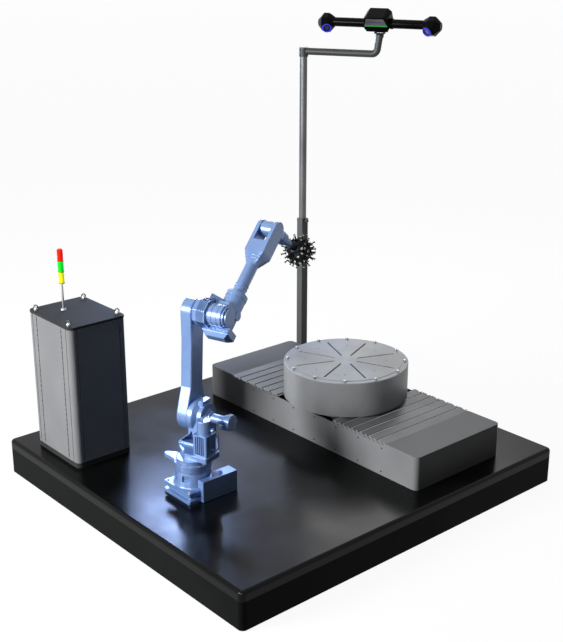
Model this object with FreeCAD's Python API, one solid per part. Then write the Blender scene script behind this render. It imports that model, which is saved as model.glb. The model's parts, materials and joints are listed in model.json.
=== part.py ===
import FreeCAD, Part
import math
import os

# Automated three-dimensional scanning cell: platform, control cabinet, six-axis robot with a tracked
# scanner head, linear rail with a turntable, and a mast that carries the optical tracker.
# Millimetres, +Z up, origin on the floor under the centre of the platform, +Y along the rail.

V = FreeCAD.Vector
X_AXIS = V(1, 0, 0)
Y_AXIS = V(0, 1, 0)
Z_AXIS = V(0, 0, 1)

# Clearances
running_fit = 0.05       # radial clearance of a shaft in its bearing
panel_gap = 8.0          # open seam between cabinet post and panel
part_gap = 0.3           # clearance between bodies that move past each other

# Platform
platform_width = 4800.0
platform_depth = 4500.0
platform_height = 443.0
platform_corner_radius = 60.0
platform_edge_radius = 40.0
deck_plate = 20.0
deck_wall = 12.0
deck_rim = 110.0
skirt_wall = 10.0
skirt_floor_gap = 15.0
corner_post_size = 140.0
frame_clearance = 12.0
beam_width = 120.0
beam_wall = 8.0
frame_lines = 3
foot_height = 90.0
foot_radius = 55.0
foot_pad = 18.0
foot_stud_radius = 16.0
deck_top = platform_height

# Control cabinet
cabinet_side_gap = 203.0
cabinet_back_gap = 352.0
cabinet_width = 736.0
cabinet_depth = 914.0
cabinet_x = -platform_width / 2 + cabinet_side_gap
cabinet_y = platform_depth / 2 - cabinet_back_gap - cabinet_depth
cabinet_height = 1719.0
cabinet_corner_radius = 60.0
post_size = 85.0
post_wall = 26.0
post_lip = 20.0
post_lip_wall = 6.0
plinth_height = 60.0
plinth_floor = 10.0
plinth_wall = 30.0
cabinet_top_plate = 28.0
cabinet_top_overhang = 6.0
panel_thickness = 18.0
eyebolt_inset_x = 48.0
eyebolt_inset_y = 95.0
eyebolt_ring_radius = 22.0
eyebolt_wire_radius = 7.0
eyebolt_collar_radius = 18.0
eyebolt_collar_height = 12.0
door_rib_depth = 22.0
door_rib_inset = 40.0
hinge_pin_radius = 5.0
hinge_knuckle_radius = 11.0
hinge_knuckle_length = 60.0
hinge_standoff = 13.0
handle_height = 850.0
handle_length = 150.0
handle_hub_radius = 16.0
handle_standoff = 14.0
handle_grip_width = 24.0
handle_grip_depth = 14.0
mounting_plate_thickness = 4.0
mounting_plate_width = 620.0
mounting_plate_height = 1480.0
mounting_plate_inset = 60.0
drive_width = 120.0
drive_depth = 220.0
drive_height = 380.0
drive_spacing = 150.0
drive_count = 4

# Stack light
stack_x = cabinet_x + 297.0
stack_y = cabinet_y + 623.0
stack_base_radius = 36.0
stack_base_height = 14.0
stack_pole_radius = 13.5
stack_pole_height = 324.0
lamp_radius = 35.0
lamp_height = 130.0
lamp_ring_height = 5.0
lamp_cap_height = 14.0

# Rail
rail_x = 335.0
rail_end_gap = 310.0
rail_y = -platform_depth / 2 + rail_end_gap
rail_width = 1429.0
rail_length = 3716.0
rail_height = 405.0
rail_corner_radius = 65.0
rail_cap_length = 480.0
rail_side_wall = 12.0
rail_end_wall = 12.0
bed_width = 980.0
bed_height = 200.0
bed_web_wall = 40.0
bed_slot_depth = 120.0
guide_offset = 400.0
guide_width = 55.0
guide_height = 48.0
guide_neck = 30.0
rack_width = 40.0
rack_height = 30.0
rack_tooth_pitch = 60.0
pinion_radius = 42.0
gearbox_length = 180.0
gearbox_clearance = 6.0
carriage_length = 1000.0
carriage_width = 1180.0
carriage_plate = 60.0
carriage_block_length = 220.0
carriage_block_width = 120.0
bellows_pitch = 142.0
bellows_rise = 26.0
bellows_sheet = 5.0
rail_top = deck_top + rail_height

# Turntable
turntable_x = 1027.0
turntable_y = -86.0
turntable_radius = 770.0
turntable_bottom = 858.0
turntable_top = 1292.0
turntable_wall = 16.0
turntable_plate = 40.0
turntable_edge_radius = 8.0
pedestal_radius = 420.0
bearing_radius = 330.0
bearing_bore = 240.0
knob_circle_radius = 725.0
knob_count = 12
knob_radius = 19.0
knob_height = 26.0
table_pad_radius = 695.0
table_pad_height = 4.0
table_slot_width = 22.0
table_slot_depth = 24.0
table_slot_start = 150.0
table_slot_end = 640.0
table_slot_count = 8
table_bolt_count = 8
table_bolt_circle = 1000.0
table_bolt_radius = 8.5
table_bolt_depth = 30.0

# Robot, heights above the deck, in the arm's own plane: X forward, Y left, Z up
robot_x = -1514.0
robot_y = -320.0
robot_heading = 17.0
riser_size = 473.0
riser_plate = 40.0
riser_pad_size = 400.0
riser_pad = 45.0
base_flange = 48.0
base_flange_radius = 22.0
base_foot_radius = 216.0
base_neck_radius = 192.0
base_height = 345.0
base_rim_height = 34.0
base_pocket_width = 96.0
base_pocket_depth = 26.0
base_pocket_height = 70.0
base_bolt_inset = 34.0
base_bolt_radius = 13.0
base_bolt_head = 12.0
connector_box_back = 294.0
connector_box_left = -88.0
connector_box_right = 380.0
connector_box_depth = 150.0
connector_box_height = 245.0
connector_notch = 18.0
connector_box_lift = 5.0
connector_radius = 17.0
connector_length = 34.0
connector_start = 165.0
connector_spacing = 118.0
waist_disc_radius = 205.0
waist_disc = 45.0
waist_lug_reach = 340.0
waist_lug_radius = 42.0
waist_gap = 0.5
waist_drum_radius = 182.0
waist_drum = 50.0
waist_deck = 60.0
shoulder_forward = 270.0
shoulder_height = 806.0
shoulder_flange_radius = 195.0
shoulder_flange = 60.0
shoulder_drum_radius = 150.0
shoulder_inner = 135.0
shoulder_outer = -20.0
pylon_foot_left = 262.0
pylon_foot_right = -30.0
pylon_foot_back = 85.0
pylon_foot_front = 410.0
pylon_wall = 26.0
pylon_pocket_depth = 60.0
j1_motor_forward = 0.0
j1_motor_right = 160.0
j1_motor_half = 92.0
j1_motor_body = 245.0
j1_motor_cap_radius = 78.0
j1_motor_cap = 158.0
j1_motor_fin = 12.0
j1_motor_fin_depth = 14.0
waist_deck_back = -112.0
waist_deck_front = 130.0
waist_deck_right = -262.0
waist_deck_left = 40.0
shoulder_motor_radius = 52.0
shoulder_motor_collar_radius = 68.0
shoulder_motor_end_radius = 90.0
shoulder_motor_end = 345.0
shoulder_motor_collar = 70.0
shoulder_motor_cap = 46.0
shoulder_box_low = 92.0
shoulder_box_high = 40.0
arm_lean = 3.5
arm_length = 1185.0
arm_thickness = 142.0
arm_half_width = 112.0
arm_foot_radius = 190.0
arm_head_radius = 135.0
arm_flare_length = 330.0
arm_edge_radius = 16.0
arm_gap = 0.5
elbow_octagon_radius = 150.0
elbow_octagon_length = 190.0
elbow_drum_radius = 128.0
elbow_drum_end = -240.0
elbow_ring_radius = 116.0
elbow_cap_radius = 97.0
elbow_end = -292.0
forearm_plane = -150.0
forearm_drop = 130.0
forearm_raise = 42.0
elbow_neck_radius = 118.0
elbow_neck_end = 292.0
forearm_ring_length = 62.0
forearm_ring_radius = 122.0
forearm_length = 1228.0
forearm_tube_radius = 72.0
forearm_hub_wall = 20.0
fork_start = 880.0
fork_flare = 150.0
fork_height = 196.0
fork_width = 245.0
fork_prong = 46.0
fork_slot_start = 1028.0
fork_tip_radius = 92.0
fork_cover_thickness = 9.0
fork_cover_inset = 16.0
wrist_bend = 74.5
wrist_radius = 92.0
wrist_width = 148.0
wrist_nose_radius = 74.0
wrist_nose_end = 245.0
wrist_pin_radius = 26.0
wrist_motor_radius = 52.0
wrist_motor_x = 95.0
wrist_motor_stand = 16.0
flange_radius = 80.0
flange_length = 36.0
flange_gap = 0.5

# Robot: cable loop at the waist, covers and wing on the elbow housing
cable_radius = 8.0
cable_bend = 60.0
cable_gland_height = 60.0
rear_cover_length = 120.0
rear_cover_half_width = 165.0
rear_cover_half_height = 85.0
saddle_half_width = 80.0
wing_x = 125.0
wing_width = 76.0
wing_foot = -100.0
wing_tip = 6.0

# Scanner head, along the tool axis from the wrist centre
head_bracket_radius = 40.0
head_bracket_end = 632.0
head_centre = 750.0
head_cage_radius = 165.0
head_rod_radius = 9.0
head_core_width = 150.0
head_core_height = 200.0
head_core_depth = 170.0
head_lens_radius = 30.0
head_lens_length = 34.0
head_lens_spacing = 120.0
marker_radius = 15.0
marker_thickness = 5.0
marker_stalk_radius = 4.0
marker_stalk_length = 26.0

# Mast and tracker
mast_x = platform_width / 2 - 320.0
mast_y = platform_depth / 2 - 350.0
mast_heading = -62.0
column_size = 110.0
column_wall = 4.0
column_top = 2538.0
column_foot_size = 300.0
column_foot_plate = 20.0
gusset_height = 150.0
gusset_thickness = 10.0
collar_height = 45.0
mast_radius = 50.0
mast_wall = 5.0
mast_bottom = 1500.0
mast_top = 4752.0
arm_sleeve_radius = 62.0
arm_sleeve_height = 118.0
tracker_arm_height = 4795.0
tracker_arm_length = 1010.0
tracker_arm_radius = 46.0
riser_length = 170.0
riser_lean = 9.0
riser_head = 30.0
tracker_heading = -66.0
tracker_tilt_height = 60.0
tracker_pitch = 30.0
tracker_yoke_width = 130.0
tracker_yoke_wall = 12.0
tracker_pin_radius = 10.0
tracker_body_length = 330.0
tracker_body_depth = 210.0
tracker_body_height = 225.0
tracker_shoulder = 46.0
tracker_bar_radius = 58.0
tracker_bar_level = 0.28
tracker_head_drop = 16.0
tracker_head_taper = 74.0
tracker_bar_length = 437.0
tracker_head_length = 222.0
tracker_head_radius = 124.0
tracker_lens_radius = 50.0
tracker_lens_depth = 24.0
tracker_toe_in = 18.0


def box(x0, x1, y0, y1, z0, z1):
    return Part.makeBox(x1 - x0, y1 - y0, z1 - z0, V(x0, y0, z0))


def rod(radius, start, end):
    """Cylinder between two points."""
    along = end.sub(start)
    return Part.makeCylinder(radius, along.Length, start, along)


def pipe(outer, inner, start, end):
    return rod(outer, start, end).cut(rod(inner, start, end))


def cone(radius_start, radius_end, start, end):
    along = end.sub(start)
    return Part.makeCone(radius_start, radius_end, along.Length, start, along)


def prism(points, along):
    """Closed polygon of 3-D points, swept straight along a vector."""
    face = Part.Face(Part.makePolygon(points + [points[0]]))
    return face.extrude(along)


def fillet_where(solid, radius, test):
    """Rounds the straight or curved edges for which test(edge) holds."""
    return solid.makeFillet(radius, [edge for edge in solid.Edges if test(edge)])


def is_vertical(edge):
    ends = [vertex.Point for vertex in edge.Vertexes]
    return len(ends) == 2 and abs(ends[0].x - ends[1].x) < 0.001 and abs(ends[0].y - ends[1].y) < 0.001


def lies_at(edge, axis, value):
    """True when the whole edge lies at one coordinate of the given axis, 0 for X, 1 for Y, 2 for Z."""
    bounds = edge.BoundBox
    low = (bounds.XMin, bounds.YMin, bounds.ZMin)[axis]
    high = (bounds.XMax, bounds.YMax, bounds.ZMax)[axis]
    return abs(low - value) < 0.01 and abs(high - value) < 0.01


def rounded_box(x0, x1, y0, y1, z0, z1, radius):
    return fillet_where(box(x0, x1, y0, y1, z0, z1), radius, is_vertical)


def fuse(solids):
    return solids[0].multiFuse(solids[1:]).removeSplitter()


def group(solids):
    return Part.makeCompound(solids)


def at(x, y, z, axis=Z_AXIS, degrees=0.0):
    return FreeCAD.Placement(V(x, y, z), FreeCAD.Rotation(axis, degrees))


def placed(shape, place):
    moved = shape.copy()
    moved.Placement = place.multiply(shape.Placement)
    return moved


def export(name, shape):
    shape.exportStep(os.path.join("parts", name + ".step"))


def make_platform():
    half_width = platform_width / 2
    half_depth = platform_depth / 2
    rim_bottom = deck_top - deck_rim
    deck = rounded_box(-half_width, half_width, -half_depth, half_depth,
                       rim_bottom, deck_top, platform_corner_radius)
    deck = fillet_where(deck, platform_edge_radius, lambda edge: lies_at(edge, 2, deck_top))
    inner_x = half_width - deck_wall
    inner_y = half_depth - deck_wall
    plate_bottom = deck_top - deck_plate
    inner_radius = platform_corner_radius - deck_wall
    deck = deck.cut(rounded_box(-inner_x, inner_x, -inner_y, inner_y,
                                rim_bottom - 1, plate_bottom - deck_plate, inner_radius))
    flat_x = inner_x - platform_edge_radius
    flat_y = inner_y - platform_edge_radius
    deck = deck.cut(box(-flat_x, flat_x, -flat_y, flat_y, rim_bottom, plate_bottom))
    export("platform_deck", deck)

    skirt = rounded_box(-half_width, half_width, -half_depth, half_depth,
                        skirt_floor_gap, rim_bottom, platform_corner_radius)
    hollow_x = half_width - skirt_wall
    hollow_y = half_depth - skirt_wall
    walls = []
    long_x = half_width - corner_post_size
    long_y = half_depth - corner_post_size
    for side in (-1, 1):
        walls.append(box(-long_x, long_x, min(side * half_depth, side * hollow_y),
                         max(side * half_depth, side * hollow_y), skirt_floor_gap, rim_bottom))
        walls.append(box(min(side * half_width, side * hollow_x), max(side * half_width, side * hollow_x),
                         -long_y, long_y, skirt_floor_gap, rim_bottom))
        for end in (-1, 1):
            corner = box(min(side * half_width, side * long_x), max(side * half_width, side * long_x),
                         min(end * half_depth, end * long_y), max(end * half_depth, end * long_y),
                         skirt_floor_gap, rim_bottom)
            walls.append(corner.common(skirt))
    export("platform_skirts", group(walls))

    beam_bottom = foot_height
    top_x = half_width - corner_post_size - frame_clearance
    top_y = half_depth - corner_post_size - frame_clearance
    beams = []
    lines_y = [-top_y + beam_width / 2 + i * (2 * top_y - beam_width) / (frame_lines - 1)
               for i in range(frame_lines)]
    lines_x = [-top_x + beam_width / 2 + i * (2 * top_x - beam_width) / (frame_lines - 1)
               for i in range(frame_lines)]
    half_beam = beam_width / 2
    for y in lines_y:
        outer = box(-top_x, top_x, y - half_beam, y + half_beam, beam_bottom, plate_bottom)
        core = box(-top_x - 1, top_x + 1, y - half_beam + beam_wall, y + half_beam - beam_wall,
                   beam_bottom + beam_wall, plate_bottom - beam_wall)
        beams.append(outer.cut(core))
    for x in lines_x:
        for start, end in zip(lines_y[:-1], lines_y[1:]):
            outer = box(x - half_beam, x + half_beam, start + half_beam, end - half_beam,
                        beam_bottom, plate_bottom)
            core = box(x - half_beam + beam_wall, x + half_beam - beam_wall, start, end,
                       beam_bottom + beam_wall, plate_bottom - beam_wall)
            beams.append(outer.cut(core))
    export("platform_frame", group(beams))

    feet = []
    for x in lines_x:
        for y in lines_y:
            pad = cone(foot_radius, foot_radius * 0.7, V(x, y, 0), V(x, y, foot_pad))
            stud = rod(foot_stud_radius, V(x, y, foot_pad), V(x, y, beam_bottom))
            feet.append(fuse([pad, stud]))
    export("levelling_feet", group(feet))


def cabinet_post(x, y, turn, z0, z1):
    """Corner post: rounded outer corner, with a lip behind each open seam."""
    lip = post_size + post_lip
    depth = panel_thickness + post_lip_wall
    points = [(0, 0), (post_size, 0), (post_size, panel_thickness), (lip, panel_thickness), (lip, depth),
              (depth, depth), (depth, lip), (panel_thickness, lip), (panel_thickness, post_size),
              (0, post_size)]
    post = prism([V(px, py, 0) for px, py in points], V(0, 0, z1 - z0))
    outer = [edge for edge in post.Edges if is_vertical(edge) and edge.Vertexes[0].Point.x < 0.001
             and edge.Vertexes[0].Point.y < 0.001]
    post = post.makeFillet(cabinet_corner_radius, outer)
    web = box(depth, post_wall * 2, depth, post_wall * 2, 0, z1 - z0)
    return placed(fuse([post, web]), at(x, y, z0, Z_AXIS, turn))


def make_cabinet():
    x0 = cabinet_x
    x1 = cabinet_x + cabinet_width
    y0 = cabinet_y
    y1 = cabinet_y + cabinet_depth
    plinth_top = deck_top + plinth_height
    roof = deck_top + cabinet_height
    wall_top = roof - cabinet_top_plate

    base = rounded_box(x0, x1, y0, y1, deck_top, plinth_top, cabinet_corner_radius)
    tray = box(x0 + plinth_wall, x1 - plinth_wall, y0 + plinth_wall, y1 - plinth_wall,
               deck_top + plinth_floor, plinth_top)
    export("cabinet_base", base.cut(fillet_where(tray, cabinet_corner_radius - plinth_wall, is_vertical)))

    posts = [cabinet_post(x0, y0, 0, plinth_top, wall_top), cabinet_post(x1, y0, 90, plinth_top, wall_top),
             cabinet_post(x1, y1, 180, plinth_top, wall_top), cabinet_post(x0, y1, 270, plinth_top, wall_top)]
    export("cabinet_posts", group(posts))

    clear = post_size + panel_gap
    panel_back = panel_thickness
    panels = [box(x0, x0 + panel_back, y0 + clear, y1 - clear, plinth_top, wall_top),
              box(x1 - panel_back, x1, y0 + clear, y1 - clear, plinth_top, wall_top),
              box(x0 + clear, x1 - clear, y0, y0 + panel_back, plinth_top, wall_top)]
    export("cabinet_panels", group(panels))

    top = rounded_box(x0 - cabinet_top_overhang, x1 + cabinet_top_overhang, y0 - cabinet_top_overhang,
                      y1 + cabinet_top_overhang, wall_top, roof, cabinet_corner_radius + cabinet_top_overhang)
    top = fillet_where(top, cabinet_top_overhang, lambda edge: lies_at(edge, 2, roof))
    export("cabinet_top", top)

    bolts = []
    for x in (x0 + eyebolt_inset_x, x1 - eyebolt_inset_x):
        for y in (y0 + eyebolt_inset_y, y1 - eyebolt_inset_y):
            collar = rod(eyebolt_collar_radius, V(x, y, roof), V(x, y, roof + eyebolt_collar_height))
            centre = V(x, y, roof + eyebolt_collar_height + eyebolt_ring_radius + eyebolt_wire_radius * 0.5)
            ring = Part.makeTorus(eyebolt_ring_radius, eyebolt_wire_radius, centre, V(1, 1, 0))
            bolts.append(fuse([collar, ring]))
    export("cabinet_eyebolts", group(bolts))

    door_left = x0 + clear
    door_right = x1 - clear
    door_bottom = plinth_top + panel_gap / 2
    door_top = wall_top - panel_gap / 2
    skin = box(door_left, door_right, y1 - panel_thickness, y1, door_bottom, door_top)
    frame_y = y1 - panel_thickness - door_rib_depth
    outer_rib = box(door_left + door_rib_inset, door_right - door_rib_inset, frame_y, y1 - panel_thickness,
                    door_bottom + door_rib_inset, door_top - door_rib_inset)
    rib = door_rib_inset * 1.5
    inner_rib = box(door_left + rib, door_right - rib, frame_y, y1 - panel_thickness,
                    door_bottom + rib, door_top - rib)
    hinge_x = x0 + post_size + panel_gap / 2
    hinge_y = y1 + hinge_standoff
    knuckles = []
    pins = []
    for part in (0.15, 0.5, 0.85):
        z = door_bottom + part * (door_top - door_bottom)
        half = hinge_knuckle_length / 2
        lower = V(hinge_x, hinge_y, z - half)
        middle = V(hinge_x, hinge_y, z)
        upper = V(hinge_x, hinge_y, z + half)
        bore = rod(hinge_pin_radius + running_fit, lower, upper)
        tab = box(hinge_x, door_left + door_rib_inset, y1, hinge_y, z + part_gap, z + half)
        knuckle = rod(hinge_knuckle_radius, V(hinge_x, hinge_y, z + part_gap), upper)
        knuckles.append(fuse([knuckle, tab]).cut(bore))
        leaf = box(x0 + post_size - door_rib_inset, hinge_x, y1, hinge_y, z - half, z)
        pins.append(fuse([rod(hinge_knuckle_radius, lower, middle), leaf,
                          rod(hinge_pin_radius, lower, upper)]))
    handle_x = door_right - door_rib_inset
    shaft = V(handle_x, y1 - panel_thickness, deck_top + handle_height)
    hole = rod(handle_hub_radius * 0.5 + running_fit, shaft, V(shaft.x, y1 + 1, shaft.z))
    recess = box(handle_x - handle_hub_radius - part_gap, handle_x + handle_hub_radius + part_gap,
                 frame_y - 1, y1 - panel_thickness, shaft.z - handle_hub_radius - part_gap,
                 shaft.z + handle_hub_radius + part_gap)
    door = fuse([skin, outer_rib.cut(inner_rib)] + knuckles).cut(hole).cut(recess)
    export("cabinet_door", door)
    export("cabinet_hinges", group(pins))

    hub_end = V(shaft.x, y1 + handle_standoff, shaft.z)
    hub = rod(handle_hub_radius, V(shaft.x, y1 + part_gap, shaft.z), hub_end)
    stem = rod(handle_hub_radius * 0.5, shaft, V(shaft.x, y1 + part_gap, shaft.z))
    grip = box(shaft.x - handle_grip_width / 2, shaft.x + handle_grip_width / 2, hub_end.y,
               hub_end.y + handle_grip_depth, shaft.z - handle_length, shaft.z + handle_hub_radius)
    grip = fillet_where(grip, handle_grip_depth * 0.4, lambda edge: lies_at(edge, 1, hub_end.y + handle_grip_depth))
    export("cabinet_door_handle", fuse([hub, stem, grip]))

    plate_x = x0 + panel_thickness + mounting_plate_inset
    plate_y = y0 + (cabinet_depth - mounting_plate_width) / 2
    plate_z = plinth_top + mounting_plate_inset
    plate = box(plate_x, plate_x + mounting_plate_thickness, plate_y, plate_y + mounting_plate_width,
                deck_top + plinth_floor, plate_z + mounting_plate_height)
    export("cabinet_mounting_plate", plate)
    drives = []
    face = plate_x + mounting_plate_thickness
    first = plate_y + (mounting_plate_width - (drive_count - 1) * drive_spacing - drive_width) / 2
    for row in range(2):
        z = plate_z + mounting_plate_height * (0.12 + 0.45 * row)
        for i in range(drive_count):
            y = first + i * drive_spacing
            drive = box(face, face + drive_depth, y, y + drive_width, z, z + drive_height)
            drives.append(fillet_where(drive, 6, lambda edge: lies_at(edge, 0, face + drive_depth)))
    export("cabinet_drives", group(drives))


def make_stack_light():
    roof = deck_top + cabinet_height
    here = lambda z: V(stack_x, stack_y, z)
    pole_top = roof + stack_pole_height
    base = cone(stack_base_radius, stack_base_radius * 0.8, here(roof), here(roof + stack_base_height))
    pole = rod(stack_pole_radius, here(roof + stack_base_height), here(pole_top - lamp_ring_height))
    seat = rod(lamp_radius, here(pole_top - lamp_ring_height), here(pole_top))
    export("stack_light_pole", fuse([base, pole, seat]))
    names = ("stack_light_yellow", "stack_light_green", "stack_light_red")
    for level, name in enumerate(names):
        bottom = pole_top + level * lamp_height
        ring = rod(lamp_radius, here(bottom), here(bottom + lamp_ring_height))
        lens = rod(lamp_radius - 1.5, here(bottom + lamp_ring_height), here(bottom + lamp_height))
        pieces = [ring, lens]
        if level == len(names) - 1:
            top = bottom + lamp_height
            pieces.append(cone(lamp_radius, lamp_radius * 0.7, here(top), here(top + lamp_cap_height)))
        export(name, fuse(pieces))


def make_rail():
    x0 = rail_x
    x1 = rail_x + rail_width
    y0 = rail_y
    y1 = rail_y + rail_length
    middle = (x0 + x1) / 2
    bed_top = deck_top + bed_height

    bed = box(middle - bed_width / 2, middle + bed_width / 2, y0 + rail_end_wall, y1 - rail_end_wall,
              deck_top, bed_top)
    slot_half = guide_offset - guide_width - bed_web_wall
    bed = bed.cut(box(middle - slot_half, middle + slot_half, y0, y1, bed_top - bed_slot_depth, bed_top))
    export("rail_bed", bed)

    side_top = rail_top - bellows_rise
    sides = [box(x0, x0 + rail_side_wall, y0 + rail_cap_length, y1 - rail_cap_length, deck_top, side_top),
             box(x1 - rail_side_wall, x1, y0 + rail_cap_length, y1 - rail_cap_length, deck_top, side_top)]
    export("rail_side_plates", group(sides))

    caps = []
    for outer_y, inner_y in ((y0, y0 + rail_cap_length), (y1, y1 - rail_cap_length)):
        low = min(outer_y, inner_y)
        high = max(outer_y, inner_y)
        shell = box(x0, x1, low, high, deck_top, rail_top)
        corners = [edge for edge in shell.Edges if is_vertical(edge)
                   and abs(edge.Vertexes[0].Point.y - outer_y) < 0.01]
        shell = shell.makeFillet(rail_corner_radius, corners)
        shell = fillet_where(shell, 4, lambda edge: lies_at(edge, 2, rail_top)
                             and not lies_at(edge, 1, inner_y))
        hollow = box(x0 + rail_side_wall, x1 - rail_side_wall, low, high, deck_top, rail_top - rail_side_wall)
        inner_corners = [edge for edge in hollow.Edges if is_vertical(edge)
                         and abs(edge.Vertexes[0].Point.y - outer_y) < 0.01]
        hollow = hollow.makeFillet(rail_corner_radius - rail_side_wall, inner_corners)
        inward = rail_end_wall if inner_y > outer_y else -rail_end_wall
        caps.append(shell.cut(placed(hollow, at(0, inward, 0))))
    export("rail_end_caps", group(caps))

    guides = []
    for side in (-1, 1):
        x = middle + side * guide_offset
        half = guide_width / 2
        neck = guide_neck / 2
        low = bed_top
        points = [(-half, 0), (half, 0), (half, guide_height * 0.3), (neck, guide_height * 0.45),
                  (half, guide_height * 0.7), (half, guide_height), (-half, guide_height),
                  (-half, guide_height * 0.7), (-neck, guide_height * 0.45), (-half, guide_height * 0.3)]
        guides.append(prism([V(x + px, y0 + rail_cap_length / 4, low + pz) for px, pz in points],
                            V(0, rail_length - rail_cap_length / 2, 0)))
    export("linear_guides", group(guides))

    rack_length = rail_length - rail_cap_length
    teeth = int(rack_length / rack_tooth_pitch)
    rack_x = middle + slot_half - rack_width
    rack_low = bed_top - bed_slot_depth
    start = y0 + (rail_length - teeth * rack_tooth_pitch) / 2
    outline = [V(rack_x, start, rack_low)]
    for i in range(teeth):
        y = start + i * rack_tooth_pitch
        outline += [V(rack_x, y, rack_low + rack_height * 0.6),
                    V(rack_x, y + rack_tooth_pitch * 0.25, rack_low + rack_height),
                    V(rack_x, y + rack_tooth_pitch * 0.5, rack_low + rack_height),
                    V(rack_x, y + rack_tooth_pitch * 0.75, rack_low + rack_height * 0.6)]
    end = start + teeth * rack_tooth_pitch
    outline += [V(rack_x, end, rack_low + rack_height * 0.6), V(rack_x, end, rack_low)]
    export("drive_rack", prism(outline, V(rack_width, 0, 0)))

    plate_low = rail_top - carriage_plate
    front = turntable_y - carriage_length / 2
    back = turntable_y + carriage_length / 2
    pieces = [rounded_box(middle - carriage_width / 2, middle + carriage_width / 2, front, back,
                          plate_low, rail_top, rail_side_wall)]
    block_low = bed_top + guide_height * 0.2
    for side in (-1, 1):
        x = middle + side * guide_offset
        for end_y in (front + carriage_block_length / 2, back - carriage_block_length / 2):
            block = box(x - carriage_block_width / 2, x + carriage_block_width / 2,
                        end_y - carriage_block_length / 2, end_y + carriage_block_length / 2,
                        block_low, plate_low)
            pieces.append(block)
    carriage = fuse(pieces)
    for side in (-1, 1):
        x = middle + side * guide_offset
        half = guide_width / 2 + part_gap
        carriage = carriage.cut(box(x - half, x + half, y0, y1, bed_top, bed_top + guide_height + part_gap))
    pinion_y = turntable_y
    pinion_z = rack_low + rack_height + pinion_radius + part_gap
    gearbox_end = rack_x - gearbox_clearance
    gearbox = box(gearbox_end - gearbox_length, gearbox_end, pinion_y - pinion_radius, pinion_y + pinion_radius,
                  pinion_z - pinion_radius, plate_low)
    pinion = rod(pinion_radius, V(gearbox_end, pinion_y, pinion_z),
                 V(rack_x + rack_width - gearbox_clearance, pinion_y, pinion_z))
    export("carriage", fuse([carriage, gearbox, pinion]))

    make_bellows("bellows_near", y0 + rail_cap_length, front, side_top)
    make_bellows("bellows_far", y1 - rail_cap_length, back, side_top)


def make_bellows(name, fixed_y, moving_y, side_top):
    """Lamella cover: sloping slats, each one dropping sharply onto the next."""
    x0 = rail_x + part_gap
    x1 = rail_x + rail_width - part_gap
    direction = 1 if moving_y > fixed_y else -1
    fixed_end = fixed_y + direction * part_gap
    length = abs(moving_y - fixed_y) - 2 * part_gap
    slats = int(round(length / bellows_pitch))
    pitch = direction * length / slats
    low = side_top + part_gap
    high = rail_top + bellows_sheet - part_gap
    outline = [V(x0, fixed_end, low)]
    for i in range(slats):
        y = fixed_end + i * pitch
        if direction > 0:
            outline += [V(x0, y, low + bellows_sheet), V(x0, y + pitch * 0.93, high), V(x0, y + pitch, high - 3)]
        else:
            outline += [V(x0, y, high - 3), V(x0, y + pitch * 0.07, high), V(x0, y + pitch, low + bellows_sheet)]
    outline.append(V(x0, fixed_end + slats * pitch, low))
    export(name, prism(outline, V(x1 - x0, 0, 0)))


def make_turntable():
    here = lambda z: V(turntable_x, turntable_y, z)
    plate_low = turntable_top - turntable_plate
    pedestal_top = plate_low - part_gap
    bore = bearing_bore + running_fit
    foot = rod(pedestal_radius, here(rail_top), here(rail_top + turntable_plate))
    stem = rod(bearing_radius, here(rail_top + turntable_plate), here(pedestal_top))
    ring = rod(pedestal_radius, here(pedestal_top - turntable_plate), here(pedestal_top))
    pedestal = fuse([foot, stem, ring]).cut(rod(bore, here(rail_top), here(pedestal_top)))
    export("turntable_pedestal", pedestal)

    rim_top = turntable_top - table_pad_height
    drum = rod(turntable_radius, here(turntable_bottom), here(rim_top))
    drum = drum.makeFillet(turntable_edge_radius, [edge for edge in drum.Edges if lies_at(edge, 2, rim_top)])
    drum = drum.fuse(rod(table_pad_radius, here(rim_top), here(turntable_top)))
    drum = drum.cut(rod(turntable_radius - turntable_wall, here(turntable_bottom), here(plate_low)))
    drum = drum.fuse(rod(bearing_bore, here(plate_low - turntable_plate * 3), here(plate_low)))
    for i in range(table_slot_count):
        slot = box(table_slot_start, table_slot_end, -table_slot_width / 2, table_slot_width / 2,
                   turntable_top - table_slot_depth, turntable_top + 1)
        drum = drum.cut(placed(slot, at(turntable_x, turntable_y, 0, Z_AXIS, (i + 0.5) * 360 / table_slot_count)))
    for i in range(table_bolt_count):
        angle = math.radians(i * 360 / table_bolt_count)
        centre = here(turntable_top).add(V(math.cos(angle), math.sin(angle), 0) * (table_bolt_circle / 2))
        drum = drum.cut(rod(table_bolt_radius, centre.sub(V(0, 0, table_bolt_depth)), centre))
    export("turntable_drum", drum.removeSplitter())

    knobs = []
    for i in range(knob_count):
        angle = math.radians((i + 0.5) * 360 / knob_count)
        centre = here(rim_top).add(V(math.cos(angle), math.sin(angle), 0) * knob_circle_radius)
        knob = rod(knob_radius, centre, centre.add(V(0, 0, knob_height)))
        knobs.append(knob.makeFillet(4, [edge for edge in knob.Edges
                                         if lies_at(edge, 2, rim_top + knob_height)]))
    export("locating_knobs", group(knobs))


def robot_frames():
    """Placements of the robot's links in the posed arm, from the base up to the tool."""
    base = at(robot_x, robot_y, deck_top)
    waist = base.multiply(at(0, 0, 0, Z_AXIS, robot_heading))
    shoulder = waist.multiply(at(shoulder_forward, 0, shoulder_height, Y_AXIS, arm_lean))
    elbow = shoulder.multiply(at(0, 0, arm_length, Y_AXIS, -arm_lean - forearm_raise))
    forearm = elbow.multiply(at(0, forearm_plane, -forearm_drop))
    wrist = forearm.multiply(at(forearm_length, 0, 0, Y_AXIS, wrist_bend))
    return base, waist, shoulder, elbow, forearm, wrist


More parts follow.
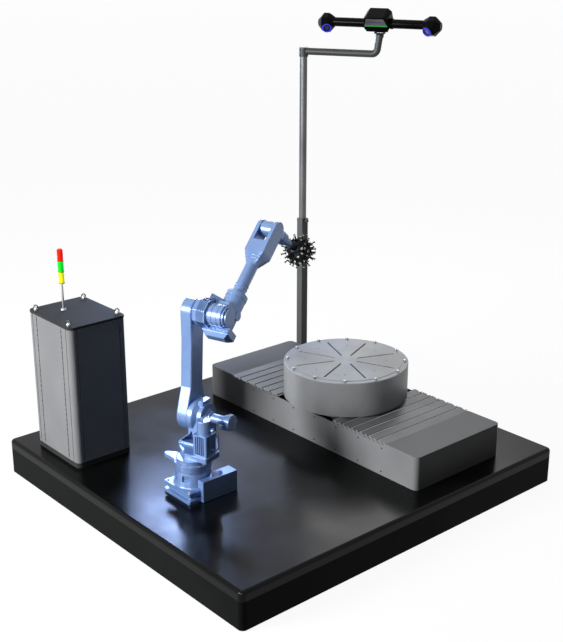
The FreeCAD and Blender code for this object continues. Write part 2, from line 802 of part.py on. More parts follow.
def make_robot_base(base):
    half = riser_size / 2
    pad = riser_pad_size / 2
    riser = fuse([rounded_box(-half, half, -half, half, 0, riser_plate, base_flange_radius),
                  rounded_box(-pad, pad, -pad, pad, riser_plate, riser_plate + riser_pad, base_flange_radius)])
    export("robot_riser_plate", placed(riser, base))

    foot = riser_plate + riser_pad
    flange_top = foot + base_flange
    flange = rounded_box(-half, half, -half, half, foot, flange_top, base_flange_radius)
    rim_low = base_height - base_rim_height
    column = cone(base_foot_radius, base_neck_radius, V(0, 0, flange_top), V(0, 0, rim_low))
    rim = rod(base_neck_radius + 8, V(0, 0, rim_low), V(0, 0, base_height))
    body = fuse([flange, column, rim])
    body = fillet_where(body, 14, lambda edge: lies_at(edge, 2, flange_top)
                        and abs(edge.BoundBox.XLength - 2 * base_foot_radius) < 1)
    pocket_low = flange_top + (rim_low - flange_top - base_pocket_height) / 2 + 14
    for turn in (110, 160, 210, 20):
        reach = (base_foot_radius + base_neck_radius) / 2
        cut = box(reach - base_pocket_depth, reach + 60, -base_pocket_width / 2, base_pocket_width / 2,
                  pocket_low, pocket_low + base_pocket_height)
        cut = fillet_where(cut, 12, lambda edge: abs(edge.BoundBox.XLength) > 10)
        body = body.cut(placed(cut, at(0, 0, 0, Z_AXIS, turn)))
    export("robot_base", placed(body, base))

    left = connector_box_left
    right = connector_box_right
    face = -connector_box_back
    low = connector_box_lift
    top = low + connector_box_height
    housing = box(left, right, face, face + connector_box_depth, low, top)
    housing = housing.cut(rod(base_foot_radius + part_gap, V(0, 0, low - 1), V(0, 0, top + 1)))
    housing = housing.cut(box(-half - part_gap, half + part_gap, -half - part_gap, half, low - 1,
                              flange_top + connector_notch))
    plugs = []
    for i in range(2):
        x = left + connector_start + i * connector_spacing
        y = face + connector_box_depth * 0.42
        seat = rod(connector_radius * 1.4, V(x, y, top), V(x, y, top + 6))
        barrel = rod(connector_radius, V(x, y, top + 6), V(x, y, top + connector_length))
        plugs.append(fuse([seat, barrel]))
    export("robot_connector_box", placed(group([housing] + plugs), base))


def tangent_point(corner_x, corner_y, radius):
    """Point where a line from an outside point touches a circle about the origin, on its outer right side."""
    distance = math.hypot(corner_x, corner_y)
    turn = math.atan2(corner_y, corner_x) - math.acos(radius / distance)
    return radius * math.cos(turn), radius * math.sin(turn)


def make_waist(waist):
    disc_low = base_height + waist_gap
    disc_top = disc_low + waist_disc
    disc = rod(waist_disc_radius, V(0, 0, disc_low), V(0, 0, disc_top))
    tip = rod(waist_lug_radius, V(0, waist_lug_reach, disc_low), V(0, waist_lug_reach, disc_top))
    root = waist_disc_radius * 0.72
    lug = prism([V(-root, 0, disc_low), V(root, 0, disc_low), V(waist_lug_radius, waist_lug_reach, disc_low),
                 V(-waist_lug_radius, waist_lug_reach, disc_low)], V(0, 0, waist_disc))
    drum_top = disc_top + waist_drum
    drum = rod(waist_drum_radius, V(0, 0, disc_top), V(0, 0, drum_top))
    deck_high = drum_top + waist_deck
    outline = [(waist_deck_back, waist_deck_right), (waist_deck_front, waist_deck_right),
               (pylon_foot_front, pylon_foot_right),
               (pylon_foot_front, pylon_foot_left), (pylon_foot_back, pylon_foot_left),
               (waist_deck_back, waist_deck_left)]
    deck = prism([V(x, y, drum_top) for x, y in outline], V(0, 0, waist_deck))
    deck = fillet_where(deck, 24, is_vertical)

    knee = deck_high + 0.28 * (shoulder_height - deck_high)
    side = [(pylon_foot_right, deck_high), (pylon_foot_left, deck_high), (pylon_foot_left, deck_high + 14),
            (shoulder_inner - part_gap * 10, knee + 40), (shoulder_inner - part_gap * 10, shoulder_height),
            (shoulder_outer, shoulder_height)]
    pylon = prism([V(pylon_foot_back, y, z) for y, z in side], V(pylon_foot_front - pylon_foot_back, 0, 0))
    reach = shoulder_drum_radius
    front = [(pylon_foot_back, deck_high), (pylon_foot_front, deck_high),
             (shoulder_forward + reach, shoulder_height), (shoulder_forward - reach, shoulder_height)]
    taper = prism([V(x, pylon_foot_right - 1, z) for x, z in front],
                  V(0, pylon_foot_left - pylon_foot_right + 2, 0))
    pylon = pylon.common(taper)
    inner = shoulder_inner - part_gap * 10 - pylon_wall
    pocket = [(pylon_foot_right + pylon_wall + 50, deck_high + pylon_wall),
              (pylon_foot_left - pylon_wall, deck_high + pylon_wall), (inner, knee + 50),
              (inner - 14, shoulder_height - shoulder_drum_radius * 0.75)]
    recess = prism([V(pylon_foot_back - 1, y, z) for y, z in pocket], V(pylon_pocket_depth + 60, 0, 0))
    pylon = pylon.cut(fillet_where(recess, 10, lambda edge: edge.BoundBox.XLength > 20))

    here = lambda y: V(shoulder_forward, y, shoulder_height)
    flange = rod(shoulder_flange_radius, here(shoulder_inner), here(shoulder_inner - shoulder_flange))
    neck_end = shoulder_inner - shoulder_flange - 45
    neck = cone(shoulder_flange_radius, shoulder_drum_radius, here(shoulder_inner - shoulder_flange),
                here(neck_end))
    barrel = rod(shoulder_drum_radius, here(neck_end), here(shoulder_outer))
    pad_low = shoulder_height + shoulder_drum_radius * 0.8
    pad_top = shoulder_height + shoulder_flange_radius + 4
    pad = box(shoulder_forward - 75, shoulder_forward + 75, shoulder_outer + 8, 62, pad_low, pad_top)
    pad = fillet_where(pad, 22, is_vertical)
    body = fuse([disc, tip, lug, drum, deck, pylon, flange, neck, barrel, pad])
    body = body.cut(rod(shoulder_motor_collar_radius + 20, here(shoulder_outer - shoulder_motor_collar),
                        here(shoulder_outer + 12)))
    export("robot_waist", placed(body, waist))

    x = j1_motor_forward
    y = -j1_motor_right
    half = j1_motor_half
    body_top = deck_high + j1_motor_body
    block = rounded_box(x - half, x + half, y - half, y + half, deck_high, body_top, 18)
    pitch = j1_motor_fin * 2
    fins = int((2 * half - 50) / pitch)
    for i in range(fins):
        offset = (i - (fins - 1) / 2) * pitch
        for turn in (0, 90, 180, 270):
            groove = box(half - j1_motor_fin_depth, half + 1, offset - j1_motor_fin / 2,
                         offset + j1_motor_fin / 2, deck_high + 16, body_top - 10)
            block = block.cut(placed(groove, at(x, y, 0, Z_AXIS, turn)))
    cap = rod(j1_motor_cap_radius, V(x, y, body_top), V(x, y, body_top + j1_motor_cap))
    cap = cap.makeFillet(8, [edge for edge in cap.Edges if lies_at(edge, 2, body_top + j1_motor_cap)])
    plug = rod(22, V(x + 20, y - j1_motor_cap_radius + 8, body_top + 45),
               V(x + 20, y - j1_motor_cap_radius - 34, body_top + 45))

    collar_low = shoulder_outer + 12
    stages = [(shoulder_motor_collar_radius + 20 - part_gap, collar_low, collar_low - shoulder_motor_collar * 0.6),
              (shoulder_motor_collar_radius, collar_low - shoulder_motor_collar * 0.6,
               collar_low - shoulder_motor_collar),
              (shoulder_motor_radius, collar_low - shoulder_motor_collar,
               -shoulder_motor_end + 2 * shoulder_motor_cap),
              (shoulder_motor_collar_radius, -shoulder_motor_end + 2 * shoulder_motor_cap,
               -shoulder_motor_end + shoulder_motor_cap),
              (shoulder_motor_end_radius, -shoulder_motor_end + shoulder_motor_cap, -shoulder_motor_end)]
    motor = fuse([rod(radius, here(start), here(end)) for radius, start, end in stages])
    box_y = -shoulder_motor_end + shoulder_motor_cap + 20
    terminal = box(shoulder_forward - 40, shoulder_forward + 30, box_y - 10, box_y + 90,
                   shoulder_height - shoulder_box_low, shoulder_height - shoulder_box_high)
    export("shoulder_motor", placed(fuse([motor, fillet_where(terminal, 8, is_vertical)]), waist))

    cable_x = x + 20
    start_y = y - j1_motor_cap_radius - 34
    start_z = body_top + 45
    drop = cable_bend
    gland_z = deck_high + cable_gland_height
    top_mid = V(cable_x, start_y - drop * math.sin(math.pi / 4), start_z - drop + drop * math.cos(math.pi / 4))
    run = [Part.Arc(V(cable_x, start_y, start_z), top_mid, V(cable_x, start_y - drop, start_z - drop)).toShape()]
    bend_z = gland_z + drop
    run.append(Part.LineSegment(V(cable_x, start_y - drop, start_z - drop),
                                V(cable_x, start_y - drop, bend_z)).toShape())
    low_mid = V(cable_x, start_y - drop + drop - drop * math.cos(math.pi / 4),
                bend_z - drop * math.sin(math.pi / 4))
    run.append(Part.Arc(V(cable_x, start_y - drop, bend_z), low_mid, V(cable_x, start_y, gland_z)).toShape())
    path = Part.Wire(run)
    section = Part.Wire([Part.makeCircle(cable_radius, V(cable_x, start_y, start_z), Y_AXIS)])
    cable = path.makePipeShell([section], True, False)
    export("waist_cable", placed(cable, waist))
    gland = rod(cable_radius * 1.8, V(cable_x, start_y, gland_z), V(cable_x, y - half + j1_motor_fin_depth, gland_z))
    export("waist_motor", placed(fuse([block, cap, plug, gland]), waist))


def link_outline(half_width, foot_radius_, head_radius_, length, flare):
    """Closed wire in the XZ plane: round foot, waisted straight sides, round head."""
    foot_x, foot_z = tangent_point(half_width, flare, foot_radius_)
    head_x, head_z = tangent_point(half_width, flare, head_radius_)
    p = [V(foot_x, 0, foot_z), V(half_width, 0, flare), V(half_width, 0, length - flare),
         V(head_x, 0, length - head_z)]
    q = [V(-point.x, 0, point.z) for point in p]
    edges = [Part.LineSegment(p[0], p[1]).toShape(), Part.LineSegment(p[1], p[2]).toShape(),
             Part.LineSegment(p[2], p[3]).toShape(),
             Part.Arc(p[3], V(0, 0, length + head_radius_), q[3]).toShape(),
             Part.LineSegment(q[3], q[2]).toShape(), Part.LineSegment(q[2], q[1]).toShape(),
             Part.LineSegment(q[1], q[0]).toShape(),
             Part.Arc(q[0], V(0, 0, -foot_radius_), p[0]).toShape()]
    return Part.Wire(edges)


def make_lower_arm(shoulder):
    inner_y = shoulder_inner + arm_gap
    wire = link_outline(arm_half_width, arm_foot_radius, arm_head_radius, arm_length, arm_flare_length)
    slab = Part.Face(wire).extrude(V(0, arm_thickness, 0))
    slab = fillet_where(slab, arm_edge_radius, lambda edge: lies_at(edge, 1, 0) or lies_at(edge, 1, arm_thickness))
    slab.translate(V(0, inner_y, 0))
    for z, radius in ((0, arm_foot_radius * 0.62), (arm_length, arm_head_radius * 0.62)):
        cover = rod(radius, V(0, inner_y + arm_thickness - 6, z), V(0, inner_y + arm_thickness + 8, z))
        slab = slab.fuse(cover)
    export("robot_lower_arm", placed(slab.removeSplitter(), shoulder))


def make_elbow(elbow):
    inner_y = shoulder_inner
    here = lambda y: V(0, y, 0)
    octagon_end = inner_y - elbow_octagon_length
    corner = elbow_octagon_radius / math.cos(math.pi / 8)
    points = [V(corner * math.cos(math.radians(22.5 + 45 * i)), inner_y,
                corner * math.sin(math.radians(22.5 + 45 * i))) for i in range(8)]
    small = [V(point.x * 0.8, inner_y - 0, point.z * 0.8) for point in points]
    taper_y = inner_y - 34
    wide = [V(point.x, taper_y, point.z) for point in points]
    cap = Part.makeLoft([Part.makePolygon(small + [small[0]]), Part.makePolygon(wide + [wide[0]])], True, True)
    octagon = prism(wide, V(0, octagon_end - taper_y, 0))
    drum = rod(elbow_drum_radius, here(octagon_end), here(elbow_drum_end))
    ring_end = (elbow_drum_end + elbow_end) / 2
    ring = rod(elbow_ring_radius, here(elbow_drum_end), here(ring_end))
    on_axis = at(0, forearm_plane, -forearm_drop)
    neck_start = -elbow_cap_radius
    neck = rod(elbow_neck_radius, V(neck_start, 0, 0), V(elbow_neck_end, 0, 0))
    saddle = box(neck_start, elbow_neck_end * 0.55, -saddle_half_width, saddle_half_width, -60,
                 forearm_drop + 40)
    saddle = fillet_where(saddle, 24, lambda edge: edge.BoundBox.XLength > 50)
    wing = prism([V(wing_x, wing_foot, -57), V(wing_x, wing_foot, -5), V(wing_x, wing_tip, 92),
                  V(wing_x, wing_tip, 62)], V(wing_width, 0, 0))
    wing = fillet_where(wing, 10, lambda edge: lies_at(edge, 1, wing_tip) and edge.BoundBox.ZLength > 5)
    body = fuse([cap, octagon, drum, ring, placed(neck, on_axis), placed(saddle, on_axis), wing])
    export("robot_elbow", placed(body, elbow))

    cover = rod(elbow_cap_radius, here(ring_end), here(elbow_end))
    cover = cover.makeFillet(6, [edge for edge in cover.Edges if lies_at(edge, 1, elbow_end)])
    small_cover = rod(wrist_motor_radius, V(wrist_motor_x, -elbow_neck_radius * 0.9, 0),
                      V(wrist_motor_x, -elbow_neck_radius - wrist_motor_stand, 0))
    small_cover = small_cover.cut(rod(elbow_neck_radius, V(neck_start, 0, 0), V(elbow_neck_end, 0, 0)))
    rear_end = neck_start - rear_cover_length
    rear = box(rear_end, neck_start, -rear_cover_half_width, rear_cover_half_width,
               -rear_cover_half_height, rear_cover_half_height)
    rear = rear.makeChamfer(rear_cover_half_height * 0.5, [edge for edge in rear.Edges
                                                           if lies_at(edge, 0, rear_end)])
    covers = [cover, placed(small_cover, on_axis).cut(body), placed(rear, on_axis).cut(body)]
    export("elbow_motor_covers", placed(group(covers), elbow))

    ring = pipe(forearm_ring_radius, forearm_tube_radius + forearm_hub_wall, V(elbow_neck_end, 0, 0),
                V(elbow_neck_end + forearm_ring_length, 0, 0))
    ring = ring.makeFillet(10, [edge for edge in ring.Edges
                                if lies_at(edge, 0, elbow_neck_end + forearm_ring_length)
                                and edge.BoundBox.YLength > 2 * forearm_ring_radius - 5])
    export("forearm_bearing_ring", placed(placed(ring, on_axis), elbow))


def make_forearm(forearm):
    y = 0.0
    start = elbow_neck_end + part_gap
    tube = rod(forearm_tube_radius, V(start, y, 0), V(fork_start - fork_flare, y, 0))
    hub = rod(forearm_tube_radius + forearm_hub_wall - running_fit, V(start, y, 0),
              V(elbow_neck_end + forearm_ring_length + 6, y, 0))
    half_w = fork_width / 2
    half_h = fork_height / 2
    circle = Part.Wire([Part.makeCircle(forearm_tube_radius, V(fork_start - fork_flare, y, 0), X_AXIS)])
    corners = [V(fork_start, y - half_w, -half_h), V(fork_start, y + half_w, -half_h),
               V(fork_start, y + half_w, half_h), V(fork_start, y - half_w, half_h)]
    square = Part.makePolygon(corners + [corners[0]])
    flare = Part.makeLoft([circle, square], True, False)
    tip = forearm_length
    block = box(fork_start, tip, y - half_w, y + half_w, -half_h, half_h)
    nose = rod(half_h, V(tip, y - half_w, 0), V(tip, y + half_w, 0))
    slot_half = half_w - fork_prong
    slot = box(fork_slot_start, tip + half_h + 1, y - slot_half, y + slot_half, -half_h - 1, half_h + 1)
    body = fuse([tube, hub, flare, block, nose]).cut(slot)
    for side in (-1, 1):
        outer = y + side * half_w
        recess = cover_outline(outer, side)
        body = body.cut(recess)
    pin_hole = rod(wrist_pin_radius + running_fit, V(tip, y - half_w, 0), V(tip, y + half_w, 0))
    export("robot_forearm", placed(body.cut(pin_hole), forearm))
    covers = [cover_outline(y + side * half_w, side, part_gap) for side in (-1, 1)]
    export("fork_covers", placed(group(covers), forearm))


def cover_outline(outer_y, side, shrink=0.0):
    """Cover plate let into the outer side of a fork prong, or its recess when shrink is zero."""
    half = fork_height / 2 - fork_cover_inset - shrink
    depth = side * fork_cover_thickness
    flat = box(fork_start + fork_cover_inset + shrink, forearm_length, min(outer_y - depth, outer_y),
               max(outer_y - depth, outer_y), -half, half)
    round_end = rod(half, V(forearm_length, outer_y - depth, 0), V(forearm_length, outer_y, 0))
    return fuse([flat, round_end])


def make_wrist(wrist):
    half = wrist_width / 2 - part_gap
    pin_half = fork_width / 2 - fork_cover_thickness - part_gap
    drum = rod(wrist_radius, V(0, -half, 0), V(0, half, 0))
    pin = rod(wrist_pin_radius, V(0, -pin_half, 0), V(0, pin_half, 0))
    neck = rod(half - 2, V(0, 0, 0), V(fork_tip_radius + 22, 0, 0))
    nose = rod(wrist_nose_radius, V(fork_tip_radius + 22, 0, 0), V(wrist_nose_end, 0, 0))
    export("robot_wrist", placed(fuse([drum, pin, neck, nose]), wrist))
    start = wrist_nose_end + flange_gap
    end = start + flange_length
    flange = rod(flange_radius, V(start, 0, 0), V(end, 0, 0))
    flange = flange.makeFillet(4, [edge for edge in flange.Edges if lies_at(edge, 0, end)])
    for i in range(6):
        angle = math.radians(i * 60)
        y = flange_radius * 0.78 * math.cos(angle)
        z = flange_radius * 0.78 * math.sin(angle)
        flange = flange.cut(rod(5.5, V(end - 16, y, z), V(end, y, z)))
    export("tool_flange", placed(flange, wrist))
    return end


def make_scanner_head(wrist, flange_end):
    bracket = fuse([rod(flange_radius - 22, V(flange_end, 0, 0), V(flange_end + 18, 0, 0)),
                    rod(head_bracket_radius, V(flange_end + 18, 0, 0), V(head_bracket_end, 0, 0))])
    core_back = head_centre - head_core_depth / 2
    foot = rod(head_bracket_radius * 1.3, V(head_bracket_end, 0, 0), V(core_back, 0, 0))
    export("scanner_bracket", placed(fuse([bracket, foot]), wrist))

    half_w = head_core_width / 2
    half_h = head_core_height / 2
    core = box(core_back, core_back + head_core_depth, -half_w, half_w, -half_h, half_h)
    core = core.makeChamfer(26, [edge for edge in core.Edges if edge.BoundBox.XLength > 50])
    export("scanner_body", placed(core, wrist))
    face = core_back + head_core_depth
    lenses = []
    for z in (-head_lens_spacing / 2, 0, head_lens_spacing / 2):
        radius = head_lens_radius if z else head_lens_radius * 0.7
        barrel = rod(radius, V(face, 0, z), V(face + head_lens_length, 0, z))
        rim = rod(radius * 0.78, V(face + head_lens_length - 8, 0, z), V(face + head_lens_length, 0, z))
        lenses.append(barrel.cut(rim))
    export("scanner_lenses", placed(group(lenses), wrist))

    golden = (1 + math.sqrt(5)) / 2
    scale = head_cage_radius / math.hypot(1, golden)
    corners = []
    for a in (-1, 1):
        for b in (-golden, golden):
            corners += [V(0, a, b) * scale, V(a, b, 0) * scale, V(b, 0, a) * scale]
    face_turn = math.degrees(math.atan2(golden, 2 * golden + 1))
    corners = [at(0, 0, 0, Z_AXIS, -face_turn).multVec(corner) for corner in corners]
    centre = V(head_centre, 0, 0)
    edge_length = 2 * scale
    struts = []
    for i, first in enumerate(corners):
        for second in corners[i + 1:]:
            if abs(first.sub(second).Length - edge_length) < 0.01:
                struts.append(strut(centre.add(first), centre.add(second), head_rod_radius))
    pads = []
    dots = []
    for corner in corners:
        out = V(corner).normalize()
        seat = centre.add(corner)
        pads.append(rod(marker_radius + 2, seat.sub(out * 10), seat.add(out * 12)))
        dots.append(rod(marker_radius, seat.add(out * 12), seat.add(out * (12 + marker_thickness))))
    for i, first in enumerate(corners):
        for j, second in enumerate(corners[i + 1:], i + 1):
            if abs(first.sub(second).Length - edge_length) < 0.01 and (i * 5 + j) % 3 == 0:
                middle = V(first).add(second) * 0.5
                out = V(middle).normalize()
                seat = centre.add(middle)
                end = seat.add(out * marker_stalk_length)
                pads.append(strut(seat, end, marker_stalk_radius * 1.6))
                dots.append(rod(marker_radius * 0.8, end, end.add(out * marker_thickness)))
    for a in (-1, 1):
        for b in (-1, 1):
            inner = V(core_back + 30, a * (half_w - 14), b * (half_h - 50))
            nearest = min(corners, key=lambda corner: centre.add(corner).sub(inner).Length)
            struts.append(strut(inner, centre.add(nearest), head_rod_radius * 0.8))
    cage = fuse(struts + pads)
    cage = cage.cut(core)
    export("marker_cage", placed(cage, wrist))
    export("reflective_markers", placed(group(dots), wrist))


def strut(start, end, radius):
    """Six-sided bar between two points."""
    along = end.sub(start)
    side = along.cross(Z_AXIS if abs(along.z) < 0.9 * along.Length else X_AXIS).normalize()
    other = V(along).normalize().cross(side)
    ring = []
    for i in range(6):
        angle = math.radians(60 * i)
        ring.append(start.add(side * (radius * math.cos(angle))).add(other * (radius * math.sin(angle))))
    return prism(ring, along)


def make_column():
    half = column_size / 2
    plate = column_foot_size / 2
    place = at(mast_x, mast_y, deck_top)
    foot = rounded_box(-plate, plate, -plate, plate, 0, column_foot_plate, 12)
    pieces = [foot]
    for turn in (0, 90, 180, 270):
        gusset = prism([V(half, -gusset_thickness / 2, column_foot_plate),
                        V(plate - 14, -gusset_thickness / 2, column_foot_plate),
                        V(half, -gusset_thickness / 2, column_foot_plate + gusset_height)],
                       V(0, gusset_thickness, 0))
        pieces.append(placed(gusset, at(0, 0, 0, Z_AXIS, turn)))
    export("column_foot", placed(fuse(pieces), place))

    height = column_top - deck_top
    tube = fillet_where(box(-half, half, -half, half, column_foot_plate, height - collar_height), 8, is_vertical)
    inner = half - column_wall
    tube = tube.cut(box(-inner, inner, -inner, inner, column_foot_plate, height))
    collar = fillet_where(box(-half - 2, half + 2, -half - 2, half + 2, height - collar_height, height), 10,
                          is_vertical)
    collar = collar.cut(rod(mast_radius + running_fit, V(0, 0, 0), V(0, 0, height + 1)))
    lever_y = -half - 2
    knob = fuse([rod(9, V(0, lever_y, height - collar_height / 2), V(0, lever_y - 24, height - collar_height / 2)),
                 rod(20, V(0, lever_y - 24, height - collar_height / 2),
                     V(0, lever_y - 48, height - collar_height / 2))])
    export("column_tube", placed(group([tube, fuse([collar, knob])]), place))

    bolts = []
    for x in (-1, 1):
        for y in (-1, 1):
            bolts.append(placed(anchor_bolt(), at(mast_x + x * (plate - 30), mast_y + y * (plate - 30),
                                                  deck_top + column_foot_plate)))
            inset = riser_size / 2 - base_bolt_inset
            bolts.append(placed(anchor_bolt(), at(robot_x + x * inset, robot_y + y * inset,
                                                  deck_top + riser_plate + riser_pad + base_flange)))
    export("anchor_bolts", group(bolts))


def anchor_bolt():
    washer = rod(base_bolt_radius * 1.5, V(0, 0, 0), V(0, 0, 3))
    corner = base_bolt_radius / math.cos(math.pi / 6)
    ring = [V(corner * math.cos(math.radians(60 * i)), corner * math.sin(math.radians(60 * i)), 3)
            for i in range(6)]
    return fuse([washer, prism(ring, V(0, 0, base_bolt_head))])


def make_mast():
    here = lambda z: V(mast_x, mast_y, z)
    tube = pipe(mast_radius, mast_radius - mast_wall, here(mast_bottom), here(mast_top + arm_sleeve_height / 2))
    export("mast_tube", tube)

    heading = at(mast_x, mast_y, 0, Z_AXIS, mast_heading)
    axis_z = tracker_arm_height
    sleeve_low = axis_z - tracker_arm_radius - 24
    sleeve_top = axis_z + tracker_arm_radius
    sleeve = rod(arm_sleeve_radius, V(0, 0, sleeve_low), V(0, 0, sleeve_top))
    bore = rod(mast_radius + running_fit, V(0, 0, sleeve_low - 1), V(0, 0, mast_top + arm_sleeve_height / 2 + part_gap))
    bend = tracker_arm_radius * 1.6
    straight = rod(tracker_arm_radius, V(0, 0, axis_z), V(tracker_arm_length - bend, 0, axis_z))
    elbow_centre = V(tracker_arm_length - bend, 0, axis_z + bend)
    elbow = Part.makeTorus(bend, tracker_arm_radius, elbow_centre, Y_AXIS, 0, 360, 360)
    keep = box(tracker_arm_length - bend, tracker_arm_length + 2 * bend, -2 * bend, 2 * bend,
               axis_z - 2 * bend, axis_z + bend)
    arm = fuse([sleeve, straight, elbow.common(keep)]).cut(bore)
    export("mast_arm", placed(arm, heading))

    foot = heading.multiply(at(tracker_arm_length, 0, axis_z + bend, Y_AXIS, riser_lean))
    ball = Part.makeSphere(tracker_arm_radius, V(0, 0, 0))
    riser = rod(tracker_arm_radius, V(0, 0, 0), V(0, 0, riser_length - riser_head))
    head = rod(tracker_arm_radius + 6, V(0, 0, riser_length - riser_head), V(0, 0, riser_length + riser_head))
    lower = box(-2 * bend, 2 * bend, -2 * bend, 2 * bend, -2 * bend, 0)
    joint = placed(ball, foot).cut(placed(lower, heading.multiply(at(tracker_arm_length, 0, axis_z + bend))))
    stem = placed(fuse([riser, head]), foot)
    stem = stem.cut(placed(lower, heading.multiply(at(tracker_arm_length, 0, axis_z + bend))))
    top = foot.multVec(V(0, 0, riser_length))
    above = box(top.x - 2 * bend, top.x + 2 * bend, top.y - 2 * bend, top.y + 2 * bend, top.z, top.z + 2 * bend)
    export("mast_riser", fuse([stem, joint]).cut(above))
    return top


def make_tracker(seat):
    upright = at(seat.x, seat.y, seat.z + tracker_tilt_height, Z_AXIS, tracker_heading)
    tilt = upright.multiply(at(0, 0, 0, X_AXIS, tracker_pitch))
    half = tracker_yoke_width / 2
    base = rod(tracker_arm_radius + 6, V(0, 0, -tracker_tilt_height), V(0, 0, -tracker_tilt_height + 14))
    plate = box(-half, half, -34, 34, -tracker_tilt_height + 14, -tracker_tilt_height + 26)
    pieces = [base, plate]
    for side in (-1, 1):
        x = side * (half - tracker_yoke_wall / 2)
        ear = box(x - tracker_yoke_wall / 2, x + tracker_yoke_wall / 2, -34, 34, -tracker_tilt_height + 14, 0)
        top = rod(34, V(x - tracker_yoke_wall / 2, 0, 0), V(x + tracker_yoke_wall / 2, 0, 0))
        pieces += [ear, top]
    hole = rod(tracker_pin_radius + running_fit, V(-half, 0, 0), V(half, 0, 0))
    export("tracker_yoke", placed(fuse(pieces).cut(hole), upright))

    lug_half = half - tracker_yoke_wall - part_gap
    lift = 38.0
    length = tracker_body_length / 2
    depth = tracker_body_depth / 2
    height = tracker_body_height
    outline = [(-length, lift + 40), (-length + 24, lift), (length - 24, lift), (length, lift + 40),
               (length, lift + height - tracker_shoulder), (length - tracker_shoulder, lift + height),
               (-length + tracker_shoulder, lift + height), (-length, lift + height - tracker_shoulder)]
    body = prism([V(x, -depth, z) for x, z in outline], V(0, 2 * depth, 0))
    body = fillet_where(body, 14, lambda edge: lies_at(edge, 1, -depth) or lies_at(edge, 1, depth))
    lug = box(-lug_half, lug_half, -30, 30, 0, lift + 4)
    lug = fuse([lug, rod(30, V(-lug_half, 0, 0), V(lug_half, 0, 0))])
    pin = rod(tracker_pin_radius, V(-half, 0, 0), V(half, 0, 0))
    export("tracker_housing", placed(fuse([body, lug, pin]), tilt))

    mid = lift + height * tracker_bar_level
    bars = []
    heads = []
    lenses = []
    for side in (-1, 1):
        start = side * length
        end = side * (length + tracker_bar_length)
        bars.append(rod(tracker_bar_radius, V(start, 0, mid), V(end, 0, mid)))
        bars.append(rod(tracker_bar_radius + 10, V(start, 0, mid), V(start + side * 26, 0, mid)))
        head, lens = tracker_head(side, end, mid)
        heads.append(head)
        lenses.append(lens)
    export("tracker_bars", placed(group([fuse(bars[:2]), fuse(bars[2:])]), tilt))
    export("tracker_heads", placed(group(heads), tilt))
    export("tracker_lenses", placed(group(lenses), tilt))


def tracker_head(side, start, mid):
    """Faceted camera head: eight-sided, tapered at both ends, with a toed-in lens barrel."""
    inner = start
    outer = start + side * tracker_head_length
    low = mid - tracker_head_drop
    sections = [(inner, mid, 0.52), (inner + side * tracker_head_taper, low, 1.0),
                (outer - side * tracker_head_taper, low, 1.0), (outer, low, 0.4)]
    rings = []
    for x, z, scale in sections:
        radius = tracker_head_radius * scale
        points = [V(x, radius * math.cos(math.radians(22.5 + 45 * i)),
                    z + radius * math.sin(math.radians(22.5 + 45 * i))) for i in range(8)]
        rings.append(Part.makePolygon(points + [points[0]]))
    body = Part.makeLoft(rings, True, True)
    centre = V((inner + outer) / 2, 0, low)
    toe = math.radians(tracker_toe_in)
    look = V(-side * math.sin(toe), -math.cos(toe), 0)
    reach = tracker_head_radius * 0.93
    seat = rod(tracker_lens_radius + 14, centre, centre.add(look * (reach + 16)))
    lens = rod(tracker_lens_radius, centre.add(look * (reach + 16 - tracker_lens_depth)),
               centre.add(look * (reach + 10)))
    socket = rod(tracker_lens_radius, centre.add(look * (reach + 16 - tracker_lens_depth)),
                 centre.add(look * (reach + 17)))
    return fuse([body, seat]).cut(socket), lens


os.makedirs("parts", exist_ok=True)
make_platform()
make_cabinet()
make_stack_light()
make_rail()
make_turntable()
robot_base_frame, waist_frame, shoulder_frame, elbow_frame, forearm_frame, wrist_frame = robot_frames()
make_robot_base(robot_base_frame)
make_waist(waist_frame)
make_lower_arm(shoulder_frame)
make_elbow(elbow_frame)
make_forearm(forearm_frame)
make_scanner_head(wrist_frame, make_wrist(wrist_frame))
make_column()
make_tracker(make_mast())
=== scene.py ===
import json
import math

import bmesh
import bpy
from mathutils import Matrix, Vector


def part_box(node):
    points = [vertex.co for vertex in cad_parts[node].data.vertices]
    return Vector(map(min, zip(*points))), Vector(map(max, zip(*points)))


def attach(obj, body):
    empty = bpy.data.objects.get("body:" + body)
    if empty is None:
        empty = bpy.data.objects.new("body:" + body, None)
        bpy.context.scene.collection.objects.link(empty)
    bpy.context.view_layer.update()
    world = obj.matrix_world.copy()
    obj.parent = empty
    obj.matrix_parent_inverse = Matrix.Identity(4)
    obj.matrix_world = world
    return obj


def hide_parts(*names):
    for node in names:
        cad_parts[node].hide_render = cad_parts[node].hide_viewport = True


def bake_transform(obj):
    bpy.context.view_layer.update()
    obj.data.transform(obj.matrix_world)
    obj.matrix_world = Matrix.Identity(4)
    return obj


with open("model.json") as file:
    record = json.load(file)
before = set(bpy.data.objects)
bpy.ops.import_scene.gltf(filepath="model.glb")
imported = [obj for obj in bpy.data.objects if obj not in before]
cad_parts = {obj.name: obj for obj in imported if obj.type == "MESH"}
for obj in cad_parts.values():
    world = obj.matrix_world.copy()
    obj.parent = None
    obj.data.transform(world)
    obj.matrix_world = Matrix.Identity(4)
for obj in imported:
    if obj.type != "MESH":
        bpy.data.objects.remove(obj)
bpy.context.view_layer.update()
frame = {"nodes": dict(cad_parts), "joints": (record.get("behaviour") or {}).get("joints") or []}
nodes = frame["nodes"]
joints = {joint["name"]: joint for joint in frame["joints"]}
print("frame loaded:", len(nodes), "nodes")


# small helpers

def linearColour(text, alpha=1.0):
    parts = [int(text[i:i + 2], 16) / 255 for i in (1, 3, 5)]
    return tuple(c / 12.92 if c <= 0.04045 else ((c + 0.055) / 1.055) ** 2.4 for c in parts) + (alpha,)


